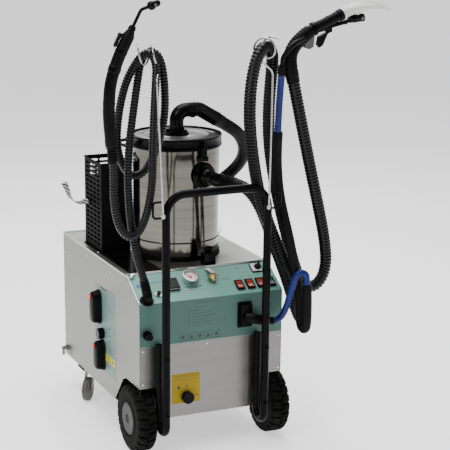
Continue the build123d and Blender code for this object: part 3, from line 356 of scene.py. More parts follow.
def rect(x, y, w, h, r=0.0, turn=0.0, steps=4):
    """A rectangle's outline about (x, y), with rounded corners if r is given."""
    if r <= 0:
        pts = [(-w / 2, -h / 2), (w / 2, -h / 2), (w / 2, h / 2), (-w / 2, h / 2)]
    else:
        pts = []
        for cx, cy, start in ((1, -1, -90), (1, 1, 0), (-1, 1, 90), (-1, -1, 180)):
            for k in range(steps + 1):
                t = radians(start + 90 * k / steps)
                pts.append((cx * (w / 2 - r) + r * cos(t), cy * (h / 2 - r) + r * sin(t)))
    c, s = cos(turn), sin(turn)
    return [(x + px * c - py * s, y + px * s + py * c) for px, py in pts]


def disc(x, y, r, count=24):
    """A disc's outline about (x, y)."""
    return [around((x, y), r, 2 * pi * k / count) for k in range(count)]


def plates(name, plane, outlines, mat, low=0.0, high=0.25, edge=0.0):
    """One piece of several flat shapes on a plane, all between the same two heights."""
    parts = ([], [])
    for outline in outlines:
        prism(plane, outline, low, high, parts)
    obj = place(name, *parts, mat, "chassis", SLOT_OF[mat], 30)
    return bevel(obj, edge) if edge else obj


def frame_along(points):
    """Tangents and turning-free side directions along a line of points."""
    count = len(points)
    tangents = [(points[min(i + 1, count - 1)] - points[max(i - 1, 0)]).normalized() for i in range(count)]
    side, _ = basis(tangents[0])
    frames = []
    for i in range(count):
        side = (side - tangents[i] * side.dot(tangents[i])).normalized()
        frames.append((side, tangents[i].cross(side)))
    return frames


def tube(name, points, radii, mat, sides=18, body="chassis", slot=None, smooth=60):
    """A closed tube through points (in mm) with a radius at each."""
    verts, faces = [], []
    for p, r, (u, v) in zip(points, radii, frame_along(points)):
        for k in range(sides):
            t = 2 * pi * k / sides
            verts.append(tuple(p + (u * cos(t) + v * sin(t)) * r))
    for i in range(len(points) - 1):
        for k in range(sides):
            n = (k + 1) % sides
            faces.append((i * sides + k, i * sides + n, (i + 1) * sides + n, (i + 1) * sides + k))
    faces.append(tuple(reversed(range(sides))))
    faces.append(tuple((len(points) - 1) * sides + k for k in range(sides)))
    return place(name, verts, faces, mat, body, slot, smooth)


def nurbs(name, points, radius=0.0, mat=None):
    """A smooth NURBS line with the route's points as control points, in mm."""
    curve = bpy.data.curves.new(name, "CURVE")
    curve.dimensions = "3D"
    curve.resolution_u = 20
    line = curve.splines.new("NURBS")
    line.points.add(len(points) - 1)
    for point, co in zip(line.points, points):
        point.co = (co[0] * MM, co[1] * MM, co[2] * MM, 1)
    line.order_u = 3
    line.use_endpoint_u = True
    if radius:
        curve.bevel_depth = radius * MM
        curve.bevel_resolution = 8
        curve.use_fill_caps = True
    if mat:
        curve.materials.append(mat)
    obj = bpy.data.objects.new(name, curve)
    bpy.context.scene.collection.objects.link(obj)
    return obj


def centreline(points):
    """Points in mm along the route's NURBS line."""
    guide = nurbs("guide", points)
    bpy.context.view_layer.update()
    graph = bpy.context.evaluated_depsgraph_get()
    mesh = bpy.data.meshes.new_from_object(guide.evaluated_get(graph))
    line = [v.co / MM for v in mesh.vertices]
    bpy.data.objects.remove(guide)
    bpy.data.meshes.remove(mesh)
    return line


def lengths_along(line):
    total, out = 0.0, [0.0]
    for a, b in zip(line, line[1:]):
        total += (b - a).length
        out.append(total)
    return out


def at_lengths(line, wanted):
    """Points on the line at those distances from its start."""
    marks, out, i = lengths_along(line), [], 0
    for s in wanted:
        s = min(max(s, 0.0), marks[-1])
        while i < len(marks) - 2 and marks[i + 1] < s:
            i += 1
        share = (s - marks[i]) / max(marks[i + 1] - marks[i], 1e-9)
        out.append(line[i].lerp(line[i + 1], share))
    return out


def corrugated(name, points, radius, pitch, depth, mat, sides, plain=0.0, body="chassis"):
    """A ribbed hose: four rings a rib, with a plain cuff's length left smooth at both ends."""
    line = centreline(points)
    total = lengths_along(line)[-1]
    ribs = int(total / pitch)
    shape = ((0.0, 0.25), (0.22, 1.0), (0.62, 1.0), (0.84, 0.0))
    wanted, radii = [0.0], [radius - depth]
    for rib in range(ribs):
        for share, rise in shape:
            s = (rib + share + 0.05) * total / ribs
            if s <= 0.5 or s >= total - 0.5:
                continue
            wanted.append(s)
            inside = plain < s < total - plain
            radii.append(radius - depth * (1 - rise) if inside else radius - depth)
    wanted.append(total)
    radii.append(radius - depth)
    obj = tube(name, at_lengths(line, wanted), radii, mat, sides, body)
    return obj, line, total


def collar(name, line, start, end, steps, mat, sides=28, slot=None):
    """A turned collar that follows a hose: steps are (share of its length, radius)."""
    samples = [(start + (end - start) * share, radius) for share, radius in steps]
    total = lengths_along(line)[-1]
    if start > end:
        samples.reverse()
    points = at_lengths(line, [max(0.0, min(total, s)) for s, _ in samples])
    kept_p, kept_r = [points[0]], [samples[0][1]]
    for p, (_, r) in zip(points[1:], samples[1:]):
        if (p - kept_p[-1]).length > 0.05:
            kept_p.append(p)
            kept_r.append(r)
    return tube(name, kept_p, kept_r, mat, sides, slot=slot, smooth=35)


def finned(count, wide, narrow, taper=0.0):
    """Steps of a finned strain relief, from its wide end to its narrow one."""
    steps = [(0.0, wide)]
    for k in range(count):
        a, b = k / count, (k + 1) / count
        outer = wide - taper * a
        steps += [(a + 0.02, outer), (a + 0.55 / count, outer), (a + 0.62 / count, narrow),
                  (b - 0.02, narrow)]
    steps.append((1.0, narrow))
    return steps


# ---- hoses
LOOP = [(190, -15, 1185), (262, -2, 1144), (327, 36, 1102), (372, 84, 1040), (386, 135, 980), (372, 190, 925),
        (338, 235, 880), (288, 268, 842), (228, 290, 810), (185, 299, 765), (170, 300, 720), (170, 300, 700)]
VACUUM = [(120, -265, 985), (149, -323, 985), (174, -388, 968), (205, -432, 895), (247, -442, 775),
          (306, -448, 625), (350, -440, 500), (382, -424, 449), (415, -400, 455), (424, -378, 530),
          (370, -370, 670), (315, -385, 835), (265, -405, 995), (225, -430, 1155), (210, -455, 1290),
          (206, -480, 1405), (198, -508, 1488), (158, -532, 1522), (112, -558, 1492), (90, -555, 1395),
          (95, -535, 1270), (120, -510, 1140), (160, -484, 990), (195, -483, 885), (240, -492, 775),
          (290, -496, 665), (346, -497, 603), (408, -500, 606), (440, -506, 676), (428, -510, 780),
          (395, -515, 910), (355, -520, 1055), (314, -526, 1210), (276, -531, 1358), (258, -534, 1425)]
STEAM = [(-255, -435, 618), (-275, -446.8, 691.6), (-305, -456, 775), (-330, -460, 910), (-340, -464, 1050),
         (-335, -462, 1175), (-318, -460, 1290), (-300, -458, 1400), (-288, -460, 1478), (-262, -472, 1517),
         (-226, -492, 1492), (-212, -497, 1400), (-205, -480, 1270), (-228, -454, 1160), (-258, -438, 1088),
         (-300, -426, 1060), (-342, -420, 1098), (-367, -424, 1180), (-362, -432, 1290), (-345, -455, 1400),
         (-312, -484, 1482), (-276, -502, 1516), (-250, -516, 1480), (-256, -517, 1385), (-262, -516, 1270),
         (-264, -513, 1160), (-264, -508, 1050), (-280, -500, 945), (-308, -494, 876), (-346, -490, 856),
         (-384, -484, 900), (-402, -486, 1000), (-403, -498, 1110), (-412, -500, 1190)]
BLUE_LOW = [(205, -484, 488), (235, -485, 481.5), (257, -504, 500), (263, -530, 545), (268, -554, 610),
            (278, -572, 676), (289, -578, 687), (305, -583, 687), (316, -586, 676), (318, -586, 640)]
BLACK_LINE = [(318, -586, 640), (320, -586, 604), (321, -587, 540), (320, -586, 480), (320, -571, 464),
              (321, -549, 464), (321, -534, 480), (319, -535, 540), (306, -538, 620), (288, -540, 705),
              (270, -534, 800), (258, -494, 905), (251, -472, 980), (245, -466, 1060), (239, -474, 1130),
              (233, -489, 1200)]
BLUE_TOP = [(233, -489, 1200), (226, -506.5, 1282), (222, -523, 1365), (215, -548, 1447)]


loop, loop_line, loop_total = corrugated("loop_hose_tube", LOOP, 25.0, 15.0, 0.9, rubber, 32, 40, body=None)
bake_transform(loop)
loop_cuff = collar("loop_cuff_top", loop_line, 0, 46,
                   [(0, 24), (0.01, 28.5), (0.3, 28.5), (0.34, 27.2), (0.9, 26.6), (1, 25.2)], rubber)
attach(loop_cuff, "lid")
loop_foot = collar("loop_cuff_foot", loop_line, loop_total, loop_total - 34,
                   [(0, 24), (0.02, 30.5), (0.5, 30.5), (0.58, 27.5), (1, 25.2)], rubber)
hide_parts("loop_hose")

vacuum, vacuum_line, vacuum_total = corrugated("vacuum_hose_tube", VACUUM, 22.5, 12.0, 3.2, ribbed, 24, 24)
vacuum_relief = collar("vacuum_strain_relief", vacuum_line, 0, 62, finned(6, 25.5, 22.8, 2.0), rubber)
vacuum_cuff = collar("vacuum_tool_cuff", vacuum_line, vacuum_total, vacuum_total - 44,
                     [(0, 22), (0.02, 25.5), (0.4, 25.5), (0.46, 24.2), (0.95, 23.8), (1, 22)], rubber)
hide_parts("vacuum_hose")

steam, steam_line, steam_total = corrugated("left_steam_hose_tube", STEAM, 15.0, 10.5, 2.4, ribbed, 18, 20)
steam_relief = collar("steam_strain_relief", steam_line, 2, 72, finned(8, 18.4, 14.6, 1.6), rubber)
steam_cuff = collar("steam_gun_cuff", steam_line, steam_total - 1, steam_total - 52,
                    finned(5, 19.0, 15.4, 1.5), rubber)
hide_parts("left_steam_hose")

blue_low = nurbs("blue_hose_lower_line", BLUE_LOW, 12.5, blue)
black_line = nurbs("black_steam_line", BLACK_LINE, 17.6, sleeve_black)
blue_top = nurbs("blue_hose_upper_line", BLUE_TOP, 12.5, blue)
for piece, node in ((blue_low, "blue_hose_lower"), (black_line, "black_steam_hose"),
                    (blue_top, "blue_hose_upper")):
    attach(piece, "chassis")
    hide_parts(node)
low_line, black_centre, top_line = centreline(BLUE_LOW), centreline(BLACK_LINE), centreline(BLUE_TOP)
black_total = lengths_along(black_centre)[-1]
top_total = lengths_along(top_line)[-1]
plug_relief = collar("plug_strain_relief", low_line, 0, 30, finned(3, 15.2, 13.2, 1.0), rubber)
line_sleeve_low = collar("line_sleeve_lower", black_centre, 0, 26,
                         [(0, 12.8), (0.05, 18.4), (0.8, 18.4), (1, 17.7)], rubber)
line_sleeve_top = collar("line_sleeve_upper", black_centre, black_total, black_total - 30,
                         [(0, 12.8), (0.05, 18.4), (0.8, 18.4), (1, 17.7)], rubber)
port_relief = collar("port_strain_relief", top_line, top_total, top_total - 34,
                     finned(4, 15.0, 13.0, 1.0), rubber)

# ---- materials of the carried-over CAD nodes
FINISH = {
    steel: ["left_side_panel", "right_side_panel", "rear_panel", "lower_front_panel"],
    painted_light_top_steel: ["top_cover"],
    drum_steel: ["drum_shell"],
    mint: ["control_console"],
    mat_gloss: ["top_mat"],
    frame_black: ["base_frame"],
    gloss_black: ["push_handle", "lid_latch"],
    gloss: ["drum_lid", "lid_elbow", "lid_handle", "inlet_fitting", "filler_box", "regulator_knob",
                    "side_knob", "rotary_knob", "gun_lance"],
    plastic: ["console_bezels", "side_outlets", "steam_gun_body", "gun_trigger", "tool_body", "tool_trigger",
              "steam_plug", "vacuum_motor"],
    black_sheet: ["basket"],
    wire_chrome: ["left_hose_stand", "right_hose_stand"],
    hub_grey: ["rim_left", "rim_right"],
    fork_zinc: ["caster_fork_left", "caster_fork_right", "drain_cock"],
    caster_grey: ["caster_wheel_left", "caster_wheel_right"],
    chrome: ["gauge_case"],
    light_plate: ["valve_lever"],
    brass: ["valve_body"],
    red_lens: ["rocker_1", "rocker_2", "rocker_3"],
    green_lens: ["rocker_4"],
    red_plastic: ["outlet_button_upper", "outlet_button_lower"],
    clear: ["tool_nozzle"],
    rubber: ["front_cap"],
    ink: ["gauge_needle"],
    inner_grey: ["boiler"],
}
for finish, names in FINISH.items():
    for node_name in names:
        for holder in nodes[node_name].material_slots:
            holder.material = finish


# ---- tyres
AXLE_Y, AXLE_Z = -369, 128


def tyre(name, node, body, x, y=AXLE_Y, z=AXLE_Z):
    """A block-tread tyre: staggered lugs cut by deep grooves, a ringed sidewall and a bead."""
    lugs, per_lug, depth = 22, 12, 9.5
    side = [(-30, 62.2), (-34, 66), (-36.5, 72), (-36.2, 74), (-37.4, 76), (-37.4, 79), (-36.4, 81),
            (-37.4, 92), (-37.8, 104), (-37.4, 112), (-36, 117), (-34.2, 121.5), (-31.5, 125), (-28, 127.2)]
    flat = [(-24 + 2.0 * k, 128.0) for k in range(25)]
    profile = side + flat + [(-px, pr) for px, pr in reversed(side)]
    count = lugs * per_lug
    verts, faces = [], []
    for a in range(count):
        t = 2 * pi * a / count
        for px, pr in profile:
            share = a / per_lug + (0.5 if px > 0 else 0.0)
            lean = abs(px) * 0.006
            phase = (share + lean) % 1.0
            cut = 0.0
            if pr > 108:
                if phase < 0.27:
                    cut = depth * min(1.0, (pr - 108) / 8)
                if abs(px + 5 * sin(2 * pi * a / per_lug)) < 3.2:
                    cut = depth * 0.8
                elif 0.58 < phase < 0.68 and abs(px) < 22:
                    cut = depth * 0.35
            r = pr - cut
            verts.append((x + px, y + r * cos(t), z + r * sin(t)))
    rows = len(profile)
    for a in range(count):
        b = (a + 1) % count
        for k in range(rows):
            n = (k + 1) % rows
            faces.append((a * rows + k, b * rows + k, b * rows + n, a * rows + n))
    obj = place(name, verts, faces, tyre_rubber, body, "tyre", 32)
    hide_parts(node)
    return obj


tyre("tyre_left_tread", "tyre_left", "left_wheel", -274.0)
tyre("tyre_right_tread", "tyre_right", "right_wheel", 274.0)

SIDES = (("left", -1), ("right", 1))
for side_name, side in SIDES:
    lathe(f"hub_ring_{side_name}", (side * 306.0, AXLE_Y, AXLE_Z), (side, 0, 0),
          [(0, 54), (0, 61.4), (4.6, 61.4), (5.6, 60), (5.6, 57.5), (4.0, 56), (2, 54)], hub_grey, 64,
          f"{side_name}_wheel", ring=True)
    bolts = ([], [])
    for k in range(5):
        t = 2 * pi * k / 5 + 0.3
        lathe("", (side * 309.0, *around((AXLE_Y, AXLE_Z), 40, t)), (side, 0, 0),
              [(0, 5), (2.2, 5), (3.2, 3.8)], fork_zinc, 6, parts=bolts)
    place(f"hub_bolts_{side_name}", *bolts, fork_zinc, f"{side_name}_wheel", "grey_hub", 30)

# ---- console face
ROCKERS = (128, 171, 214, 257)
plates("rocker_frames", "slope",
       [rect(x, 42 + dy, 33, 6.0) for x in ROCKERS for dy in (21.6, -21.6)]
       + [rect(x + dx, 42, 5.0, 49) for x in ROCKERS for dx in (-14.0, 14.0)],
       gloss, 4.0, 5.4, edge=0.5)
plates("rotary_face", "slope", [rect(227, 122, 40, 40, 3)], light_plate, 4.0, 4.9, edge=0.3)
plates("rotary_marks", "slope",
       [rect(*around((233, 122), 17.5, radians(a)), 3.4, 1.0, 0, radians(a)) for a in (30, 90, 150, 210)],
       ink, 4.9, 5.1)
plates("display_frame", "slope",
       [rect(-131, 80 + dy, 48, 2.2) for dy in (-29.3, 29.3)]
       + [rect(-131 + dx, 80, 2.2, 60) for dx in (-23.3, 23.3)],
       fork_zinc, 9.0, 10.2, edge=0.5)
plates("display_window", "slope", [rect(-131, 80, 44, 56, 2)], dark_glass, 9.0, 9.8, edge=0.3)
plates("display_keys", "slope", [rect(-143 + 8 * k, 58, 5.4, 4.6, 1) for k in range(4)], plastic, 9.0, 11.0)
lathe("toggle_collar", spot("slope", -201, 40), SLOPE_OUT,
      [(0, 13), (2.2, 13), (3.0, 12), (3.0, 9.4), (6.5, 9.2), (7.2, 8.4)], wire_chrome, 32)
GLAND = (-255, 17)
lathe("gland_nut", spot("slope", *GLAND), SLOPE_OUT,
      [(0, 24), (2.4, 24), (3.2, 22.8), (3.2, 20.4), (9.4, 20.4), (10.4, 19)], gloss, 12, smooth=20)
lathe("console_seal", spot("slope", *GLAND), SLOPE_OUT, [(0, 27), (1.2, 27), (1.6, 26)], rubber, 36)

# Pressure gauge: bezel rim, dial, ticks, red zone and numbers.
GAUGE = (-54, 100)
DIAL, MARKED = 12.9, 13.05  # heights of the dial's face and of its printed marks
gauge = spot("slope", *GAUGE)
lathe("gauge_bezel", gauge, SLOPE_OUT,
      [(19.6, 26.4), (19.6, 31.4), (21.4, 31.8), (22.8, 30.6), (23.0, 28.6), (21.6, 27.0), (20.2, 26.4)],
      wire_chrome, 56, ring=True)
plates("gauge_dial", "slope", [disc(*GAUGE, 27.0, 48)], dial_white, 12.2, DIAL)
ticks = []
for k in range(25):
    a = radians(225 - 270 * k / 24)
    long = 4.6 if k % 4 == 0 else 2.4
    r = 24.0 - long / 2
    ticks.append(rect(*around(GAUGE, r, a), long, 0.9 if k % 4 == 0 else 0.5, 0, a))
plates("gauge_ticks", "slope", ticks, ink, DIAL, MARKED)
arc = []
for k in range(8):
    a = radians(35 - 10 * k)
    arc.append(rect(*around(GAUGE, 20, a), 2.2, 3.6, 0, a))
plates("gauge_red_zone", "slope", arc, red_plastic, DIAL, 13.0)
lathe("gauge_hub", gauge, SLOPE_OUT, [(13.0, 5.2), (15.6, 5.2), (16.4, 4.2)], red_plastic, 24,
      body="gauge_needle")
digits = ([], [])
for k in range(7):
    text = bpy.data.curves.new("digit", "FONT")
    text.body = str(k * 2)
    text.size = 0.0062
    text.align_x = text.align_y = "CENTER"
    holder = bpy.data.objects.new("digit", text)
    bpy.context.scene.collection.objects.link(holder)
    bpy.context.view_layer.update()
    flat = bpy.data.meshes.new_from_object(holder.evaluated_get(bpy.context.evaluated_depsgraph_get()))
    a = radians(225 - 45 * k)
    base = len(digits[0])
    for v in flat.vertices:
        x, y = around(GAUGE, 15.2, a)
        digits[0].append(tuple(spot("slope", x + v.co.x / MM, y + v.co.y / MM, MARKED)))
    digits[1].extend([tuple(base + i for i in p.vertices) for p in flat.polygons])
    bpy.data.objects.remove(holder)
place("gauge_numbers", *digits, ink, slot="black_plastic")

# The front face of the mint sheet takes the darker copy of the mint paint: painted shade.
plates("console_front_foil", "front", [rect(0, 507.5, 577, 163)], mint_with_painted_shade, 0, 0.12)

# Marks of the console: plain rules and round icons, no lettering.
rules = [rect(-21, 576, 92, 2.4), rect(-46, 557, 52, 2.2)]
for row, wide in enumerate((48, 84, 92, 74, 96, 80)):
    z = 545 - 11.4 * row
    rules.append(rect(-92, z, 5.2, 5.2))
    rules.append(rect(-82 + wide / 2, z, wide, 2.2))
rules.append(rect(40, 500, 34, 1.4))
plates("front_rules", "front", rules, pale_ink)
icons = []
for k in range(5):
    cx = -117 + 34 * k
    for dx, dy, w, h in ((0, 13, 29, 1.5), (0, -13, 29, 1.5), (-13.8, 0, 1.5, 27), (13.8, 0, 1.5, 27)):
        icons.append(rect(cx + dx, 446 + dy, w, h))
    if k % 2 == 0:
        icons.append(disc(cx, 446, 7, 20))
    else:
        icons.append([(cx - 9, 438), (cx + 9, 438), (cx, 455)])
plates("front_icons", "front", icons, ink)
slope_marks = [rect(-53, 62 - 7 * k, w, t) for k, (w, t) in enumerate(((70, 4.2), (44, 3.0)))]
slope_marks += [rect(-40, 44, 74, 1.0)]
slope_marks += [rect(x, 12, 9, 1.6) for x in ROCKERS]
slope_marks += [disc(x, y, 2.2, 12)
                for x, y in ((6, 104), (10, 84), (52, 60), (66, 108), (150, 136), (-176, 38), (-226, 50))]
slope_marks += [rect(86, 88, 46, 1.2), rect(86, 80, 30, 1.2), rect(152, 128, 16, 1.2)]
plates("slope_marks", "slope", slope_marks, ink)
plates("plain_badge", "slope", [disc(-262, 92, 11, 28)], badge_blue, 0, 0.3)
plates("plain_badge_bars", "slope", [rect(-200, 106 - 7 * k, 72 - 18 * k, 2.4) for k in range(2)],
       badge_blue, 0, 0.3)
plates("console_arc_marks", "front",
       [rect(*around((-261, 472), 25, radians(a)), 5.0, 2.6, 0, radians(a + 90)) for a in range(30, 200, 10)],
       ink, 0, 0.3)

# ---- labels and front knob scale
plates("front_label", "front", [rect(-104.5, 246, 115, 118, 1.5)], yellow, 0, 0.4)
label_marks = [rect(-104.5, 297, 96, 1.4), rect(-104.5, 290, 84, 1.2), rect(-104.5, 281, 104, 1.0),
               rect(-134, 250, 9, 13), rect(-101, 255, 3, 12), rect(-62, 214, 13, 3)]
for k in range(9):
    a = radians(-20 + 25 * k)
    label_marks.append(rect(*around((-101, 211), 31, a), 6, 1.6, 0, a))
plates("front_label_marks", "front", label_marks, ink, 0.4, 0.6)
lathe("regulator_grip", (-101, -462.4, 211), (0, -1, 0),
      [(-14, 20.5), (-14, 23), (-2, 23), (0, 21.5), (0.8, 16), (0.2, 12), (0.2, 2)], gloss, 28,
      body="regulator_knob", smooth=25)
plates("side_label", "left", [rect(65, 383, 230, 342, 2)], mint_label, 0, 0.4)
side_marks = [rect(123, 498 - 9 * k, 20 - 3 * (k % 3), 1.8) for k in range(4)]
side_marks += [rect(118, 406, 10, 9), rect(124, 377, 20, 3), rect(118, 352, 10, 9)]
side_marks += [rect(132, 328 - 6 * k, 44 - 5 * (k % 2), 1.8) for k in range(4)]
plates("side_label_marks", "left", side_marks, ink, 0.4, 0.55)
plates("side_sticker", "left", [rect(124, 277, 108, 30, 1)], yellow_pale, 0.4, 0.8)
plates("side_sticker_marks", "left",
       [rect(106, 283 - 7 * k, 44 - 10 * k, 2.0) for k in range(3)] + [disc(150, 277, 7, 16)], ink, 0.8, 0.95)
# The slit is a black plate: painted shade inside the opening.
plates("side_painted_slit_shade", "left", [rect(50, 549, 74, 7, 3.4)], ink, 0, 0.6)

# ---- side outlets
housing = ([], [])
for along, low_z, high_z in ((0, 395, 533), (38, 214, 340)):
    mid, tall = (low_z + high_z) / 2, high_z - low_z
    start = len(housing[0])
    for wide, high, radius, depth in (
            (65, tall, 30, 0), (65, tall, 30, 6.6), (63, tall - 2, 29, 8), (57, tall - 8, 26, 8.2),
            (55, tall - 10, 25, 20), (52, tall - 14, 23, 28), (47, tall - 20, 20, 32.4),
            (40, tall - 28, 17, 34)):
        housing[0].extend([tuple(spot("left", x, y, depth)) for x, y in
                           rect(along, mid, wide, high, radius, steps=8)])
    count = (len(housing[0]) - start) // 8
    for ring in range(7):
        low = start + ring * count
        housing[1].extend([(low + k, low + (k + 1) % count, low + count + (k + 1) % count, low + count + k)
                           for k in range(count)])
    housing[1].append(tuple(start + k for k in reversed(range(count))))
    housing[1].append(tuple(start + 7 * count + k for k in range(count)))
outlet_housings = place("outlet_housings", *housing, rubber, slot="black_plastic", smooth=40)
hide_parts("side_outlets")
lathe("side_knob_shaft", spot("left", 40, 366), (-1, 0, 0), [(0, 12), (13, 12), (13.4, 11)], chrome, 32,
      body="side_knob")
lathe("side_knob_grip", spot("left", 40, 366, 14), (-1, 0, 0),
      [(0, 18), (0, 22), (8.6, 22), (10, 20.4), (10.4, 14), (9.8, 4)], gloss, 12, body="side_knob", smooth=20)

# ---- cabinet trim and fixings
# The top lip takes the brighter copy of the steel: painted light on the top.
plates("top_lip", "top", [rect(0, -309.2, 579, 4.6, 0)], painted_light_top_steel, 0.0, 7.4, edge=0.8)
plates("rear_mint_strip", "top", [rect(0, 425, 578, 28, 0)], mint_label, 0.0, 0.6)
for side_name, side in SIDES:
    plates(f"slope_edge_{side_name}", "slope", [rect(side * 289.0, 75.6, 1.6, 150)], chrome, -1.0,
           0.7, edge=0.3)
for side_name, side in SIDES:
    plates(f"corner_seam_{side_name}", "front", [rect(side * 288.4, 365, 1.4, 440)], ink, 0.0, 0.35)


def screw_row(name, plane, spots, radius=5.0):
    """Pan-head screws with a cross slot, each slot a black plate: painted shade in the recess."""
    heads, slots = ([], []), []
    for x, y in spots:
        lathe("", spot(plane, x, y), PLANES[plane][3],
              [(-0.5, radius), (0.9, radius), (2.0, radius * 0.82), (2.5, radius * 0.4)], chrome, 18,
              parts=heads)
        slots += [rect(x, y, radius * 1.1, radius * 0.24, 0, 0.5), rect(x, y, radius * 0.24, radius * 1.1, 0, 0.5)]
    place(name, *heads, chrome, "chassis", "chrome", 35)
    # The cross slots are black plates: painted shade in the recesses.
    plates(f"{name}_slots", plane, slots, ink, 2.2, 2.62)


screw_row("left_screws", "left",
          [(-425, 588), (159, 152), (419, 283), (-425, 160), (419, 560), (-130, 640), (130, 640)])
screw_row("right_screws", "right",
          [(-419, 283), (425, 588), (425, 160), (-159, 152), (-130, 640), (130, 640)])
screw_row("front_screws", "front", [(-277, 280), (-277, 410), (277, 280), (277, 410), (-20, 412)], 4.0)
screw_row("rear_screws", "rear", [(sx * 262, z) for sx in (-1, 1) for z in (160, 400, 640)])
screw_row("top_screws", "top", [(sx * 270, y) for sx in (-1, 1) for y in (-290, 60, 400)], 4.4)
lathe("corner_fitting", (-272, -322, 664), (-0.25, -0.35, 0.9),
      [(0, 6), (0, 9), (8, 9), (9, 7.5), (14, 7.5), (15, 6)], chrome, 24)
# The vents are black plates: painted shade inside the openings.
plates("rear_vent_painted_shade", "rear",
       [rect(x, 300 + 14 * k, 90, 5, 2.4) for k in range(8) for x in (-120, 120)], ink, 0, 0.5)
plates("rear_plate", "rear", [rect(0, 540, 120, 70, 3)], light_plate, 0, 0.8, edge=0.3)

# ---- drum and lid details
DRUM = (20, -35)
lathe("lid_plate", (*DRUM, 1132), (0, 0, 1),
      [(0, 10), (0, 163.5), (1.6, 163.5), (2.2, 161), (1.4, 158), (1.4, 132), (2.4, 130), (2.4, 127),
       (1.4, 125), (1.4, 60), (2.2, 58), (2.2, 50), (1.2, 49)], lid_grey, 96, body="lid")
lathe("lid_bead", (*DRUM, 1094), (0, 0, 1),
      [(2, 176), (2, 178.4), (6, 179.2), (9, 178.4), (12, 177.2), (34, 177.2), (37, 178.2), (41, 178.8),
       (45, 177.6), (46.4, 174), (46.4, 169), (44, 167)], gloss, 96, body="lid", ring=True)
lathe("drum_band", (*DRUM, 739), (0, 0, 1),
      [(-2.2, 167), (-2.2, 169.2), (-1, 170.2), (1, 170.2), (2.2, 169.2), (2.2, 167)], gloss, 96,
      slot="black_rubber", ring=True)
lathe("drum_foot_seal", (*DRUM, 668), (0, 0, 1),
      [(0, 171), (0, 174.5), (4, 174.5), (7, 173), (16.6, 172.6), (17.4, 169)], rubber, 96, ring=True)
clip_angle = radians(-12)
clip = Vector((*around(DRUM, 171, clip_angle), 740))
out_dir = Vector((cos(clip_angle), sin(clip_angle), 0))
tube("band_clip", [clip - Vector((0, 0, 8)), clip + out_dir * 7 - Vector((0, 0, 5)), clip + out_dir * 9,
                   clip + out_dir * 7 + Vector((0, 0, 8)), clip + out_dir * 12 + Vector((0, 0, 15))],
     [1.5] * 5, gloss_black, 10, slot="black_paint")
elbow_knobs = ([], [])
for k in range(4):
    t = radians(45 + 90 * k)
    lathe("", (*around((23, -35), 38, t), 1141), (0, 0, 1),
          [(0, 6.3), (3, 7.6), (9, 7.6), (12.4, 6.6), (13.4, 4)], gloss, 16, parts=elbow_knobs)
place("elbow_knobs", *elbow_knobs, gloss, "lid", "black_plastic", 30)
elbow_line = centreline([(23, -35, 1138), (23, -35, 1226), (118, -28, 1226), (186, -16, 1187)])
elbow_total = lengths_along(elbow_line)[-1]
for index, (a, b) in enumerate(((14, 30), (elbow_total * 0.55, elbow_total * 0.55 + 12))):
    ring = collar(f"elbow_ring_{index}", elbow_line, a, b, [(0, 28), (0.05, 30.5), (0.9, 30.5), (1, 28)],
                  gloss)
    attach(ring, "lid")
inlet_axis = Vector((0.26, -0.966, 0))
inlet_root = Vector((*DRUM, 1000)) + inlet_axis * 168
lathe("inlet_flange", inlet_root, inlet_axis,
      [(-1, 46), (4, 50), (9, 50), (11, 47), (14, 44), (24, 43.4), (25, 40)], gloss, 48)

# ---- basket strap and details
strap_line = centreline([(-262, 196, 851), (-286, 196, 840), (-318, 196, 845), (-342, 196, 872),
                         (-350, 196, 905), (-362, 196, 928)])
strap_total = lengths_along(strap_line)[-1]
rows = 44
verts, faces = [], []
strap_points = at_lengths(strap_line, [strap_total * k / rows for k in range(rows + 1)])
for i, p in enumerate(strap_points):
    q = strap_points[min(i + 1, rows)] - strap_points[max(i - 1, 0)]
    up = Vector((-q.z, 0, q.x)).normalized()
    turn = radians(-46 + 106 * i / rows)
    side = Vector((0, cos(turn), 0)) + up * sin(turn)
    up = up * cos(turn) - Vector((0, sin(turn), 0))
    for lift in (0.9, -0.9):
        for across in (-12.3, -6, 0, 6, 12.3):
            puff = 0.25 if abs(across) < 10 else 0.0
            verts.append(tuple(p + up * (lift + copysign(puff, lift)) + side * across))
for i in range(rows):
    a, b = i * 10, (i + 1) * 10
    for k in range(4):
        faces.append((a + k, a + k + 1, b + k + 1, b + k))
        faces.append((a + 5 + k, b + 5 + k, b + 6 + k, a + 6 + k))
    faces.append((a, b, b + 5, a + 5))
    faces.append((a + 4, a + 9, b + 9, b + 4))
faces.append(tuple([0, 5, 6, 7, 8, 9, 4, 3, 2, 1]))
last = rows * 10
faces.append(tuple(last + k for k in [0, 1, 2, 3, 4, 9, 8, 7, 6, 5]))
strap = place("strap_webbing", verts, faces, webbing, slot="webbing", smooth=50)
uv = strap.data.uv_layers.new(name="weave")
for loop_item in strap.data.loops:
    row, col = divmod(loop_item.vertex_index, 10)
    uv.data[loop_item.index].uv = (strap_total * row / rows * MM, (col % 5) * 0.0062)
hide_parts("basket_strap")
basket_rim = ([], [])
for outline in (rect(-202, 37.2, 123, 2.6), rect(-202, 235.8, 123, 2.6), rect(-262.8, 136.5, 2.6, 200),
                rect(-141.2, 136.5, 2.6, 200)):
    prism("top", outline, 352, 357.2, basket_rim)
bevel(place("basket_rim", *basket_rim, black_sheet, "chassis", "black_paint", 30), 0.8)

